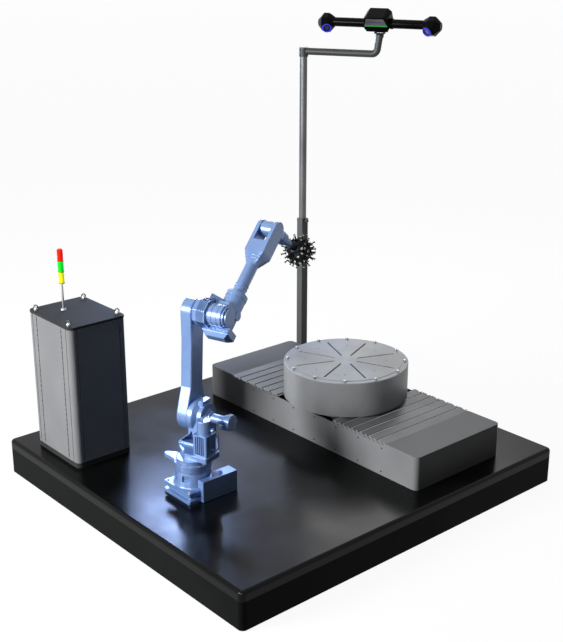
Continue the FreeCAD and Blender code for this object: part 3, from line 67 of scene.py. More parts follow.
def addNode(material, kind, settings=None, links=None):
    node = material.node_tree.nodes.new(kind)
    for name, value in (settings or {}).items():
        if isinstance(name, str) and hasattr(node, name):
            setattr(node, name, value)
        else:
            node.inputs[name].default_value = value
    for name, source in (links or {}).items():
        material.node_tree.links.new(source, node.inputs[name])
    return node


def newMaterial(name, settings):
    material = bpy.data.materials.new(name)
    material.use_nodes = True
    shader = material.node_tree.nodes["Principled BSDF"]
    for socket, value in settings.items():
        shader.inputs[socket].default_value = value
    return material, shader


def perMetre(size):
    # scale of a noise whose features are this many mm wide
    return 1000.0 / size


def bandsPerMetre(size):
    # a wave texture repeats 20 times in 2 pi at scale 1
    return 2 * math.pi * 1000.0 / (20 * size)


def objectPattern(material, stretch=(1, 1, 1)):
    place = addNode(material, "ShaderNodeTexCoord")
    scale = addNode(material, "ShaderNodeMapping", {"Scale": stretch}, {"Vector": place.outputs["Object"]})
    return scale.outputs["Vector"]


# a noise lies almost wholly between these two levels
noiseLow, noiseHigh = 0.3, 0.7


def colourBetween(material, shader, factor, dark, light, low=noiseLow, high=noiseHigh):
    ramp = addNode(material, "ShaderNodeValToRGB", links={"Fac": factor})
    ramp.color_ramp.elements[0].position = low
    ramp.color_ramp.elements[0].color = linearColour(dark)
    ramp.color_ramp.elements[1].position = high
    ramp.color_ramp.elements[1].color = linearColour(light)
    material.node_tree.links.new(ramp.outputs["Color"], shader.inputs["Base Color"])


def roughnessBetween(material, shader, factor, low, high):
    span = addNode(material, "ShaderNodeMapRange",
                   {"From Min": noiseLow, "From Max": noiseHigh, "To Min": low, "To Max": high}, {"Value": factor})
    material.node_tree.links.new(span.outputs["Result"], shader.inputs["Roughness"])


def addBump(material, shader, height, strength, distance, edge=0.0):
    # distance is the depth of the pattern; edge rounds sharp edges in the light only; both in metres
    links = {"Height": height}
    if edge:
        links["Normal"] = addNode(material, "ShaderNodeBevel", {"samples": 4, "Radius": edge}).outputs["Normal"]
    bump = addNode(material, "ShaderNodeBump", {"Strength": strength, "Distance": distance}, links)
    material.node_tree.links.new(bump.outputs["Normal"], shader.inputs["Normal"])


# each kind of material starts from the values before its function: sizes in mm, depths and edge in metres

paintDefaults = {"metallic": 0.0, "specular": 0.3, "coat": 0.0, "coatRoughness": 0.1, "cloudSize": 620.0,
                 "cloudDetail": 4.0, "peelSize": 6.0, "peelDetail": 2.0, "peel": 0.12, "peelDepth": 0.002,
                 "edge": 0.0}


def paintedMetal(name, look):
    # orange peel is 1 to 3 mm wide on real paint and one pixel spans about 10 mm: drawn coarser so that it shows
    v = {**paintDefaults, **look}
    material, shader = newMaterial(name, {"Metallic": v["metallic"], "Specular IOR Level": v["specular"],
                                          "Coat Weight": v["coat"], "Coat Roughness": v["coatRoughness"]})
    spot = objectPattern(material)
    cloud = addNode(material, "ShaderNodeTexNoise", {"Scale": perMetre(v["cloudSize"]), "Detail": v["cloudDetail"]},
                    {"Vector": spot})
    peel = addNode(material, "ShaderNodeTexNoise", {"Scale": perMetre(v["peelSize"]), "Detail": v["peelDetail"]},
                   {"Vector": spot})
    colourBetween(material, shader, cloud.outputs["Fac"], v["dark"], v["light"])
    roughnessBetween(material, shader, cloud.outputs["Fac"], v["smooth"], v["rough"])
    addBump(material, shader, peel.outputs["Fac"], v["peel"], v["peelDepth"], v["edge"])
    return material


brushDefaults = {"metallic": 0.8, "specular": 0.4, "turned": 0.0, "grainSize": 17.0, "grainDetail": 5.0,
                 "grainShare": 0.5, "cloudSize": 450.0, "cloudDetail": 3.0, "groove": 0.08, "grooveDepth": 0.001}


def brushedMetal(name, look):
    # real grinding lines are under 1 mm apart: drawn 2 to 6 mm wide; stretch divides the grain's size on each axis
    v = {**brushDefaults, **look}
    material, shader = newMaterial(name, {"Metallic": v["metallic"], "Specular IOR Level": v["specular"],
                                          "Anisotropic": v["turned"]})
    if v["turned"]:
        tangent = addNode(material, "ShaderNodeTangent", {"direction_type": "RADIAL", "axis": "Z"})
        material.node_tree.links.new(tangent.outputs["Tangent"], shader.inputs["Tangent"])
    grain = addNode(material, "ShaderNodeTexNoise", {"Scale": perMetre(v["grainSize"]), "Detail": v["grainDetail"]},
                    {"Vector": objectPattern(material, v["stretch"])})
    cloud = addNode(material, "ShaderNodeTexNoise", {"Scale": perMetre(v["cloudSize"]), "Detail": v["cloudDetail"]},
                    {"Vector": objectPattern(material)})
    # a share of the grain and the whole cloud, brought back to a mean of one half
    mixed = addNode(material, "ShaderNodeMath", {"operation": "MULTIPLY_ADD", 1: v["grainShare"]},
                    {0: grain.outputs["Fac"], 2: cloud.outputs["Fac"]})
    level = addNode(material, "ShaderNodeMath", {"operation": "MULTIPLY", 1: 1 / (1 + v["grainShare"])},
                    {0: mixed.outputs["Value"]})
    colourBetween(material, shader, level.outputs["Value"], v["dark"], v["light"])
    roughnessBetween(material, shader, grain.outputs["Fac"], v["smooth"], v["rough"])
    addBump(material, shader, grain.outputs["Fac"], v["groove"], v["grooveDepth"])
    return material


plasticDefaults = {"specular": 0.4, "textureSize": 2.4, "texture": 0.1, "textureDepth": 0.0006, "cloudSize": 170.0,
                   "cloudDetail": 3.0}


def mouldedPlastic(name, look):
    # eroded mould texture is about 0.1 mm deep and 0.5 mm wide: drawn at 2.4 mm
    v = {**plasticDefaults, **look}
    material, shader = newMaterial(name, {"Specular IOR Level": v["specular"]})
    spot = objectPattern(material)
    spark = addNode(material, "ShaderNodeTexVoronoi", {"Scale": perMetre(v["textureSize"])}, {"Vector": spot})
    cloud = addNode(material, "ShaderNodeTexNoise", {"Scale": perMetre(v["cloudSize"]), "Detail": v["cloudDetail"]},
                    {"Vector": spot})
    colourBetween(material, shader, cloud.outputs["Fac"], v["dark"], v["light"])
    roughnessBetween(material, shader, cloud.outputs["Fac"], v["smooth"], v["rough"])
    addBump(material, shader, spark.outputs["Distance"], v["texture"], v["textureDepth"])
    return material


lensDefaults = {"specular": 0.15, "ribSize": 10.0, "distortion": 0.4, "ribLow": 0.1, "ribHigh": 0.9, "smooth": 0.18,
                "rough": 0.3}


def litLens(name, look):
    # moulded prisms inside a lamp cap repeat every 2 to 3 mm: drawn at 10 mm, and at 3.9 mm in the narrow rings
    v = {**lensDefaults, **look}
    material, shader = newMaterial(name, {"Emission Strength": v["glow"], "Emission Color": linearColour(v["light"]),
                                          "Specular IOR Level": v["specular"]})
    ribs = addNode(material, "ShaderNodeTexWave",
                   {"Scale": bandsPerMetre(v["ribSize"]), "Distortion": v["distortion"], "bands_direction": "Z"},
                   {"Vector": objectPattern(material)})
    colourBetween(material, shader, ribs.outputs["Fac"], v["dark"], v["light"], v["ribLow"], v["ribHigh"])
    roughnessBetween(material, shader, ribs.outputs["Fac"], v["smooth"], v["rough"])
    return material


glassDefaults = {"specular": 0.8, "coat": 1.0, "coatRoughness": 0.02, "sheenBlend": 0.45, "cloudSize": 25.0,
                 "cloudShare": 0.2, "sheenLow": 0.1, "sheenHigh": 0.8, "smooth": 0.03, "rough": 0.08}


def opticalGlass(name, look):
    v = {**glassDefaults, **look}
    material, shader = newMaterial(name, {"Specular IOR Level": v["specular"], "Coat Weight": v["coat"],
                                          "Coat Roughness": v["coatRoughness"]})
    # the colour turns from the dark to the light one as the surface turns edge-on to the view: a painted sheen of the
    # coating's reflection
    edge = addNode(material, "ShaderNodeLayerWeight", {"Blend": v["sheenBlend"]})
    cloud = addNode(material, "ShaderNodeTexNoise", {"Scale": perMetre(v["cloudSize"])},
                    {"Vector": objectPattern(material)})
    blend = addNode(material, "ShaderNodeMath", {"operation": "MULTIPLY_ADD", 1: v["cloudShare"]},
                    {0: cloud.outputs["Fac"], 2: edge.outputs["Facing"]})
    colourBetween(material, shader, blend.outputs["Value"], v["dark"], v["light"], v["sheenLow"], v["sheenHigh"])
    roughnessBetween(material, shader, cloud.outputs["Fac"], v["smooth"], v["rough"])
    return material


# finishes

finishes = {
    # deep gloss black, a little cloudy where it mirrors the arm
    "blackDeckPaint": (paintedMetal, {"dark": "#050606", "light": "#0B0C0C", "smooth": 0.17, "rough": 0.28,
                                      "specular": 0.1, "peelSize": 11.1, "peel": 0.05}),
    # the same paint on the upright sides, slightly duller
    "blackSidePaint": (paintedMetal, {"dark": "#0E0F0F", "light": "#171818", "smooth": 0.4, "rough": 0.55,
                                      "specular": 0.02, "peelSize": 8.3}),
    # primer on hidden beams
    "frameSteelPrimer": (paintedMetal, {"dark": "#303336", "light": "#3D4144", "smooth": 0.5, "rough": 0.65}),
    # pale powder coat with fine orange peel
    "cabinetPowderCoat": (paintedMetal, {"dark": "#77787A", "light": "#828385", "smooth": 0.42, "rough": 0.55,
                                         "specular": 0.07, "peelSize": 3.3, "peel": 0.2}),
    # darker coat of the lid and the plinth
    "darkPowderCoat": (paintedMetal, {"dark": "#2E2F2F", "light": "#393A3A", "smooth": 0.45, "rough": 0.6,
                                      "specular": 0.05, "peelSize": 3.3, "peel": 0.2}),
    # long pale side plates of the rail
    "greyRailPaint": (paintedMetal, {"dark": "#77787A", "light": "#868789", "smooth": 0.38, "rough": 0.5,
                                     "specular": 0.08, "cloudSize": 909}),
    # satin blue with a metallic lift on the lit side
    "blueCastingPaint": (paintedMetal, {"dark": "#6482B6", "light": "#7796C8", "smooth": 0.26, "rough": 0.38,
                                        "metallic": 0.32, "specular": 0.5, "coat": 0.3, "edge": 0.012,
                                        "peelSize": 4.8, "peel": 0.08}),
    # satin sprayed tube: even mid grey, soft streak of light down its side
    "greyMastPaint": (paintedMetal, {"dark": "#4A4C4D", "light": "#5C5E5F", "smooth": 0.35, "rough": 0.5}),
    # the arm's darker coat, a clear step from the paler tube it sits on
    "darkMastPaint": (paintedMetal, {"dark": "#323435", "light": "#3F4142", "smooth": 0.35, "rough": 0.5}),
    # moulded and polished housings: nearly black, sharp small highlights
    "glossBlackAbs": (mouldedPlastic, {"dark": "#050506", "light": "#0A0A0B", "smooth": 0.14, "rough": 0.24,
                                       "specular": 0.04, "texture": 0.01}),
    # sintered black nylon: dry and dull, so the rods read as one dark tangle
    "mattBlackNylon": (mouldedPlastic, {"dark": "#08090A", "light": "#101112", "smooth": 0.4, "rough": 0.55,
                                        "specular": 0.2}),
    # moulded front panel, a little paler where it faces up
    "greyAbs": (mouldedPlastic, {"dark": "#484B50", "light": "#5C5F65", "smooth": 0.35, "rough": 0.5}),
    # reflective dots: flat bright white, no gloss
    "whiteReflectiveFilm": (mouldedPlastic, {"dark": "#E4E6E6", "light": "#F7F8F8", "smooth": 0.5, "rough": 0.6}),
    # matt black rubber of the lamp seals; the same black also paints the shade behind each ridge of the covers and in
    # the cabinet's panel joints
    "rubberAndPaintedShade": (mouldedPlastic, {"dark": "#0C0D0D", "light": "#151616", "smooth": 0.55, "rough": 0.7,
                                     "specular": 0.15}),
    # extruded jacket: dark blue grey, dull
    "cableRubber": (mouldedPlastic, {"dark": "#22304A", "light": "#31415F", "smooth": 0.5, "rough": 0.65}),
    # zinc-plated screws and fittings: pale, slightly streaked, small bright glints; the same pale steel paints the
    # highlight along the ridges of the covers
    "zincSteel": (brushedMetal, {"dark": "#8E9193", "light": "#BDBFC0", "smooth": 0.25, "rough": 0.42,
                                 "stretch": (1, 1, 6)}),
    # chemically blackened forgings and screws: dark grey with one soft glint
    "blackenedSteel": (brushedMetal, {"dark": "#2E3032", "light": "#45484B", "smooth": 0.28, "rough": 0.42,
                                      "stretch": (1, 1, 1)}),
    # ground guide faces: grey with grinding lines along the travel
    "groundSteel": (brushedMetal, {"dark": "#6F7173", "light": "#95979A", "smooth": 0.25, "rough": 0.4,
                                   "stretch": (8, 1, 1)}),
    # sheet slats: rolled lines along each slat, satin
    "slatSteel": (brushedMetal, {"dark": "#626466", "light": "#787A7C", "smooth": 0.34, "rough": 0.5,
                                 "stretch": (1, 12, 12), "grainSize": 45, "metallic": 0.3}),
    # machined and oiled drum: mid grey with faint turning marks
    "turntableSteel": (brushedMetal, {"dark": "#8E9092", "light": "#A6A8AA", "smooth": 0.4, "rough": 0.5,
                                      "stretch": (1, 1, 14), "grainSize": 83, "metallic": 0.3, "specular": 0.3,
                                      "turned": 0.5}),
    # drawn tube: brushed lines along its length
    "mastAluminium": (brushedMetal, {"dark": "#505254", "light": "#686A6C", "smooth": 0.3, "rough": 0.45,
                                     "stretch": (10, 10, 1), "metallic": 0.6}),
    # moulded lamp caps: strong even colour, lit a little from inside
    "redPolycarbonate": (litLens, {"dark": "#C81400", "light": "#F01E02", "glow": 0.5}),
    "greenPolycarbonate": (litLens, {"dark": "#02A81F", "light": "#03E82C", "glow": 0.5}),
    "yellowPolycarbonate": (litLens, {"dark": "#D0C812", "light": "#F4F020", "glow": 0.5}),
    # coated glass: deep blue black, violet at the edge, where a painted sheen stands for the coating's reflection as
    # the surface turns edge-on to the view
    "lensGlassPaintedSheen": (opticalGlass, {"dark": "#0B0E3A", "light": "#3A40B8"}),
    # thin light strips and rings of the tracker
    "greenLitAcrylic": (litLens, {"dark": "#1E8A3A", "light": "#2FB552", "glow": 0.25}),
    "purpleLitAcrylic": (litLens, {"dark": "#3A1846", "light": "#55236A", "glow": 0.1}),
    "blueLitAcrylic": (litLens, {"dark": "#2A2AB8", "light": "#3C3CE0", "glow": 0.45, "ribSize": 3.9}),
}
materials = {name: make(name, look) for name, (make, look) in finishes.items()}

nodeFinish = {
    "blackDeckPaint": ["platform_deck"],
    "blackSidePaint": ["platform_skirts"],
    "frameSteelPrimer": ["platform_frame", "rail_bed", "turntable_pedestal"],
    "cabinetPowderCoat": ["cabinet_posts", "cabinet_panels", "cabinet_door"],
    "darkPowderCoat": ["cabinet_top", "cabinet_base", "cabinet_drives"],
    "greyRailPaint": ["rail_side_plates", "rail_end_caps"],
    "blueCastingPaint": ["robot_riser_plate", "robot_base", "robot_connector_box", "robot_waist", "waist_motor",
                       "shoulder_motor", "robot_lower_arm", "robot_elbow", "elbow_motor_covers",
                       "forearm_bearing_ring", "robot_forearm", "fork_covers", "robot_wrist", "tool_flange",
                       "scanner_bracket"],
    "greyMastPaint": ["column_foot", "column_tube"],
    "darkMastPaint": ["mast_arm", "mast_riser"],
    "blackenedSteel": ["cabinet_eyebolts"],
    "glossBlackAbs": ["tracker_housing", "tracker_bars", "tracker_heads", "tracker_yoke"],
    "mattBlackNylon": ["marker_cage", "scanner_body"],
    "whiteReflectiveFilm": ["reflective_markers"],
    "cableRubber": ["waist_cable"],
    "zincSteel": ["levelling_feet", "cabinet_door_handle", "cabinet_hinges",
                  "cabinet_mounting_plate", "locating_knobs", "stack_light_pole", "anchor_bolts"],
    "groundSteel": ["linear_guides", "drive_rack", "carriage"],
    "slatSteel": ["bellows_near", "bellows_far"],
    "turntableSteel": ["turntable_drum"],
    "mastAluminium": ["mast_tube"],
    "redPolycarbonate": ["stack_light_red"],
    "greenPolycarbonate": ["stack_light_green"],
    "yellowPolycarbonate": ["stack_light_yellow"],
    "lensGlassPaintedSheen": ["scanner_lenses", "tracker_lenses"],
}
for finish, names in nodeFinish.items():
    for name in names:
        mesh = nodes[name].data
        mesh.materials.clear()
        mesh.materials.append(materials[finish])
print("finishes set on", sum(len(names) for names in nodeFinish.values()), "nodes")


# making pieces

def turnTo(direction):
    return Vector(direction).to_track_quat("Z", "Y").to_matrix().to_4x4()


def addRod(work, start, end, radius, sides=12, endRadius=None):
    start, end = Vector(start), Vector(end)
    place = Matrix.Translation((start + end) / 2) @ turnTo(end - start)
    bmesh.ops.create_cone(work, cap_ends=True, segments=sides, radius1=radius,
                          radius2=radius if endRadius is None else endRadius,
                          depth=(end - start).length, matrix=place)


def edgesOf(corners):
    # each edge once, in the order it was made
    return list(dict.fromkeys(edge for corner in corners for edge in corner.link_edges))


def bevelEdges(work, edges, width, segments=2):
    bmesh.ops.bevel(work, geom=list(edges), offset=width, affect="EDGES", segments=segments, profile=0.5, material=-1)


def addRing(work, centre, axis, radius, thickness, steps=40):
    place = Matrix.Translation(Vector(centre)) @ turnTo(axis) @ Matrix.Translation((radius, 0, 0))
    circle = bmesh.ops.create_circle(work, segments=10, radius=thickness,
                                     matrix=place @ Matrix.Rotation(math.pi / 2, 4, "X"))
    bmesh.ops.spin(work, geom=list(circle["verts"]) + edgesOf(circle["verts"]), cent=Vector(centre),
                   axis=Vector(axis), angle=2 * math.pi, steps=steps, use_merge=True)


def addBlock(work, place, low, high, bevel=0.0):
    low, high = Vector(low), Vector(high)
    size = Matrix.Diagonal((*(high - low), 1.0))
    made = bmesh.ops.create_cube(work, size=1.0, matrix=place @ Matrix.Translation((low + high) / 2) @ size)
    if bevel:
        bevelEdges(work, edgesOf(made["verts"]), bevel)


# shares of a screw head's radius
screwShape = {"below": 0.6, "above": 0.7, "chamfer": 0.14, "rim": 0.38, "socketDepth": 0.5, "sides": 16}


def topFace(work, before, axis):
    # the outermost of the faces added since before
    return max((face for face in work.faces if face not in before),
               key=lambda face: face.calc_center_median().dot(axis))


def addScrew(work, head, axis, radius):
    # cylinder head with a chamfered rim and a sunk socket
    v = {name: share * radius for name, share in screwShape.items()}
    head, axis = Vector(head), Vector(axis).normalized()
    before = set(work.faces)
    addRod(work, head - axis * v["below"], head + axis * v["above"], radius, screwShape["sides"])
    bevelEdges(work, topFace(work, before, axis).edges, v["chamfer"], 1)
    top = topFace(work, before, axis)
    bmesh.ops.inset_individual(work, faces=[top], thickness=v["rim"])
    bmesh.ops.translate(work, verts=list(top.verts), vec=-axis * v["socketDepth"])


def spokesRound(axis, count, firstAngle=0.0):
    # unit vectors square to the axis, evenly spread
    across = turnTo(axis).to_3x3()
    turns = (math.radians(firstAngle) + 2 * math.pi * i / count for i in range(count))
    return [across @ Vector((math.cos(angle), math.sin(angle), 0)) for angle in turns]


def screwCircle(work, centre, axis, circle, count, radius, firstAngle=0.0):
    for spoke in spokesRound(axis, count, firstAngle):
        addScrew(work, Vector(centre) + spoke * circle, axis, radius)


def finishPiece(name, work, finish, body):
    bmesh.ops.recalc_face_normals(work, faces=work.faces[:])
    mesh = bpy.data.meshes.new(name)
    work.to_mesh(mesh)
    work.free()
    mesh.materials.append(materials[finish])
    piece = bpy.data.objects.new(name, mesh)
    bpy.context.scene.collection.objects.link(piece)
    if body:
        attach(piece, body)
    return piece


def surfacePoint(node, start, way):
    # where a ray meets a node of the model, so that a detail sits on it
    found, spot, _, _ = nodes[node].ray_cast(Vector(start), Vector(way).normalized())
    return spot if found else None


def jointPlace(name):
    return Vector(joints[name]["pos_m"]), Vector(joints[name]["axis"]).normalized()


upward = Vector((0, 0, 1))
elbowPlace, armSide = jointPlace("elbow_turn")      # armSide points to the arm's left
shoulderPlace = jointPlace("shoulder_turn")[0]
forearmPlace, forearmAxis = jointPlace("forearm_roll")
wristPlace, toolAxis = jointPlace("wrist_roll")
waistPlace = jointPlace("waist_turn")[0]


# optical tracker

# measured from the tilt axis: x along the beam, y towards the back, z up across the housing
trackerValues = {"pitch": 30.0, "front": -0.105,
                 "panelTop": 0.232, "panelBottom": 0.140, "panelTopHalf": 0.118, "panelBottomHalf": 0.150,
                 "panelSeat": 0.001, "panelThickness": 0.006, "panelEdge": 0.0015,
                 "stripLevel": 0.124, "stripHeight": 0.012, "stripProud": 0.004, "stripSeat": 0.002,
                 "stripEdge": 0.001, "midLevel": 0.184, "midHeight": 0.006, "midHalf": 0.126, "midProud": 0.0075,
                 "headCentre": 0.713, "headOuter": 0.800, "lensLevel": 0.085, "lensReach": 0.132, "toeIn": 18.0,
                 "ringRadius": 0.055, "ringThickness": 0.0085, "collarShare": 0.62, "collarThickness": 0.003,
                 "studs": 12, "studFoot": 0.004, "studTip": 0.0095, "studRadius": 0.0028}
# the short lit bands at the outer end of each head, measured from the lens level
tipBandValues = {"level": 0.030, "front": -0.048, "outwards": 0.022, "backwards": 0.018, "closing": 0.4,
                 "radius": 0.006}


def trackerFrame():
    place, across = jointPlace("tracker_tilt")
    pitch = Matrix.Rotation(math.radians(trackerValues["pitch"]), 3, across)
    back = pitch @ upward.cross(across)
    high = pitch @ upward
    turn = Matrix((across, back, high)).transposed().to_4x4()
    return Matrix.Translation(place) @ turn


def makeTrackerFront():
    v = trackerValues
    place = trackerFrame()
    work = bmesh.new()
    corners = [(-v["panelBottomHalf"], v["panelBottom"]), (v["panelBottomHalf"], v["panelBottom"]),
               (v["panelTopHalf"], v["panelTop"]), (-v["panelTopHalf"], v["panelTop"])]
    plate = work.faces.new([work.verts.new(place @ Vector((x, v["front"] + v["panelSeat"], z))) for x, z in corners])
    grown = bmesh.ops.extrude_face_region(work, geom=[plate])
    front = [item for item in grown["geom"] if isinstance(item, bmesh.types.BMVert)]
    bmesh.ops.translate(work, verts=front, vec=(place.to_3x3() @ Vector((0, -v["panelThickness"], 0))))
    bevelEdges(work, work.edges, v["panelEdge"])
    finishPiece("trackerPanel", work, "greyAbs", "tracker")
    strips = (("trackerStrip", "greenLitAcrylic", v["stripLevel"], v["stripHeight"], v["panelBottomHalf"],
               v["stripProud"]),
              ("trackerStripMid", "purpleLitAcrylic", v["midLevel"], v["midHeight"], v["midHalf"], v["midProud"]))
    for name, finish, level, height, half, proud in strips:
        work = bmesh.new()
        addBlock(work, place, (-half, v["front"] - proud, level),
                 (half, v["front"] + v["stripSeat"], level + height), v["stripEdge"])
        finishPiece(name, work, finish, "tracker")


def makeTrackerRings():
    v, band = trackerValues, tipBandValues
    place = trackerFrame()
    toe = math.radians(v["toeIn"])
    rings, collars, tips = bmesh.new(), bmesh.new(), bmesh.new()
    for side in (-1, 1):
        look = Vector((-side * math.sin(toe), -math.cos(toe), 0))
        centre = Vector((side * v["headCentre"], 0, v["lensLevel"])) + look * v["lensReach"]
        axis = place.to_3x3() @ look
        addRing(rings, place @ centre, axis, v["ringRadius"], v["ringThickness"])
        addRing(collars, place @ centre, axis, v["ringRadius"] * v["collarShare"], v["collarThickness"])
        for spoke in spokesRound(look, v["studs"]):
            spot = centre + spoke * v["ringRadius"]
            addRod(collars, place @ (spot + look * v["studFoot"]), place @ (spot + look * v["studTip"]),
                   v["studRadius"], 8)
        for level in (-band["level"], band["level"]):
            start = Vector((side * v["headOuter"], band["front"], v["lensLevel"] + level))
            way = Vector((side * band["outwards"], band["backwards"], -level * band["closing"]))
            addRod(tips, place @ start, place @ (start + way), band["radius"], 8)
    finishPiece("trackerLightRings", rings, "blueLitAcrylic", "tracker")
    finishPiece("trackerLensCollars", collars, "glossBlackAbs", "tracker")
    finishPiece("trackerTipBands", tips, "greenLitAcrylic", "tracker")


makeTrackerFront()
makeTrackerRings()
print("tracker details made")


# scanner head

# stalks of three lengths stand all round the cage, except where the bracket and the lenses are
headValues = {"centre": 0.750, "inner": 0.122, "outer": 0.170, "stalks": 96, "rod": 0.0075, "disc": 0.0120,
              "clear": 0.84, "links": 4, "lengthStep": 0.13, "lengths": 3, "lengthSkip": 7, "cupDepth": 0.004,
              "cupRim": 0.003, "discThickness": 0.002, "rootShare": 0.72, "rootThick": 1.8, "linkReach": 1.12,
              "linkThick": 1.1}


def makeHeadMarkers():
    v = headValues
    centre = wristPlace + toolAxis * v["centre"]
    golden = math.pi * (3 - math.sqrt(5))
    spots = []
    for i in range(v["stalks"]):
        height = 1 - 2 * (i + 0.5) / v["stalks"]
        spoke = math.sqrt(1 - height * height)
        way = Vector((spoke * math.cos(golden * i), spoke * math.sin(golden * i), height))
        if way.dot(-toolAxis) < v["clear"] and way.dot(toolAxis) < v["clear"]:
            spots.append(way * (1.0 + v["lengthStep"] * ((i * v["lengthSkip"]) % v["lengths"])))
    rods, discs = bmesh.new(), bmesh.new()
    for way in spots:
        foot = centre + way.normalized() * v["inner"]
        tip = centre + way * v["outer"]
        out = way.normalized()
        addRod(rods, foot, tip, v["rod"], 8)
        addRod(rods, tip - out * v["cupDepth"], tip, v["disc"] + v["cupRim"], 12)
        addRod(discs, tip, tip + out * v["discThickness"], v["disc"], 12)
        near = sorted((other for other in spots if other is not way), key=lambda other: (other - way).length)
        for other in near[:v["links"]]:
            reach = other.normalized() * v["inner"] * v["linkReach"]
            addRod(rods, foot, centre + reach, v["rod"] * v["linkThick"], 6)
        addRod(rods, centre + out * v["inner"] * v["rootShare"], foot, v["rod"] * v["rootThick"], 6)
    finishPiece("headStalks", rods, "mattBlackNylon", "tool")
    finishPiece("headDiscs", discs, "whiteReflectiveFilm", "tool")


# places along the tool axis from the wrist's centre
adapterValues = {"start": 0.300, "plate": 0.030, "plateRadius": 0.076, "collar": 0.130, "collarRadius": 0.062,
                 "collarTip": 0.048, "circle": 0.068, "screws": 8, "screwRadius": 0.005}


def makeHeadAdapter():
    # blue quick-change plate and collar between flange and head, with its screws
    v = adapterValues
    work = bmesh.new()
    start = wristPlace + toolAxis * v["start"]
    plateTop = start + toolAxis * v["plate"]
    addRod(work, start, plateTop, v["plateRadius"], 48)
    addRod(work, plateTop, start + toolAxis * v["collar"], v["collarRadius"], 48, v["collarTip"])
    screwCircle(work, plateTop, toolAxis, v["circle"], v["screws"], v["screwRadius"])
    finishPiece("headAdapter", work, "blueCastingPaint", "tool")


sleeveValues = {"start": 0.500, "length": 0.118, "radius": 0.0435, "clampStart": 0.004, "clampEnd": 0.026,
                "clampRadius": 0.052, "circle": 0.047, "screws": 6, "screwRadius": 0.0035}


def makeHeadSleeve():
    # black sleeve and clamp collar where the bracket enters the ball
    v = sleeveValues
    work = bmesh.new()
    start = wristPlace + toolAxis * v["start"]
    clamp = start + toolAxis * v["clampStart"]
    addRod(work, start, start + toolAxis * v["length"], v["radius"], 32)
    addRod(work, clamp, start + toolAxis * v["clampEnd"], v["clampRadius"], 32)
    screwCircle(work, clamp, -toolAxis, v["circle"], v["screws"], v["screwRadius"])
    finishPiece("headSleeve", work, "mattBlackNylon", "tool")


makeHeadMarkers()
makeHeadAdapter()
makeHeadSleeve()
print("scanner head details made")


# robot details

# ends and bolt circles of the covers, each measured along its own joint's axis
robotValues = {"capEnd": -0.2662, "capCircle": 0.1065, "capScrews": 10, "capTurn": 18, "capRadius": 0.0055,
               "forearmRing": 0.354, "forearmCircle": 0.106, "forearmScrews": 12, "forearmRadius": 0.006,
               "motorEnd": -0.345, "motorCircle": 0.074, "motorScrews": 6, "motorRadius": 0.006,
               "forkSide": 0.1225, "forkLevel": 0.070, "forkPlaces": (0.910, 1.040, 1.208), "forkRadius": 0.0055}
# screws that stand on a flange and are dropped on to it: node, bolt circle, height to start from, count
flangeRows = {"waist": ("robot_waist", 0.194, 0.87, 20), "base": ("robot_base", 0.222, 0.66, 16)}
flangeValues = {"drop": 0.12, "radius": 0.0075}


def makeRobotScrews():
    v = robotValues
    sets = {name: bmesh.new() for name in ("base", "elbow", "fork", "waist")}
    screwCircle(sets["elbow"], elbowPlace + armSide * v["capEnd"], -armSide, v["capCircle"], v["capScrews"],
                v["capRadius"], v["capTurn"])
    screwCircle(sets["elbow"], forearmPlace + forearmAxis * v["forearmRing"], forearmAxis, v["forearmCircle"],
                v["forearmScrews"], v["forearmRadius"])
    screwCircle(sets["waist"], shoulderPlace + armSide * v["motorEnd"], -armSide, v["motorCircle"],
                v["motorScrews"], v["motorRadius"])
    high = forearmAxis.cross(armSide).normalized()
    for side in (-1, 1):
        face = forearmPlace + armSide * side * v["forkSide"]
        for along in v["forkPlaces"]:
            for up in (-1, 1):
                head = face + forearmAxis * along + high * up * v["forkLevel"]
                addScrew(sets["fork"], head, armSide * side, v["forkRadius"])
    for name, (node, circle, top, count) in flangeRows.items():
        for i in range(count):
            angle = 2 * math.pi * i / count
            above = Vector((waistPlace.x + circle * math.cos(angle), waistPlace.y + circle * math.sin(angle), top))
            spot = surfacePoint(node, above, -upward)
            if spot and above.z - spot.z < flangeValues["drop"]:
                addScrew(sets[name], spot, upward, flangeValues["radius"])
    bodies = {"base": "platform", "elbow": "elbow", "fork": "forearm", "waist": "waist"}
    for name, work in sets.items():
        finishPiece(name + "Screws", work, "zincSteel", bodies[name])


# ribs and seams that run round a casting: node, body, point on the axis, axis, first and last offset, count, width
bandValues = {
    "elbowRibs": ("robot_elbow", "elbow", elbowPlace, armSide, 0.052, -0.030, 7, 0.0042),
    "elbowSeams": ("robot_elbow", "elbow", elbowPlace, armSide, -0.120, -0.190, 2, 0.0035),
    "forearmSeams": ("robot_forearm", "forearm", forearmPlace, forearmAxis, 0.430, 0.470, 2, 0.0050),
    "forearmNeck": ("robot_forearm", "forearm", forearmPlace, forearmAxis, 0.800, 0.830, 2, 0.0040),
    "waistSeams": ("robot_waist", "waist", waistPlace, upward, 0.405, 0.440, 2, 0.0040),
    "baseSeams": ("robot_base", "platform", waistPlace, upward, 0.130, 0.300, 2, 0.0050),
    "motorRibs": ("shoulder_motor", "waist", shoulderPlace, armSide, -0.200, -0.330, 8, 0.0035),
}


# rays per turn, how far out they start, and the longest step that is still one surface
bandShape = {"rays": 64, "reach": 0.4, "step": 0.035}


def makeBands():
    v = bandShape
    for name, (node, body, centre, axis, first, last, count, width) in bandValues.items():
        work = bmesh.new()
        for i in range(count):
            middle = centre + axis * (first + (last - first) * i / (count - 1))
            spots = [surfacePoint(node, middle + spoke * v["reach"], -spoke)
                     for spoke in spokesRound(axis, v["rays"])]
            for start, end in zip(spots, spots[1:] + spots[:1]):
                if start and end and (end - start).length < v["step"]:
                    addRod(work, start, end, width, 6)
        finishPiece(name, work, "blueCastingPaint", body)


makeRobotScrews()
makeBands()
print("robot details made")


# rail and platform details

railValues = {"screwPitch": 0.38, "screwRadius": 0.009, "screwLevels": (0.49, 0.78), "endInset": 0.06}


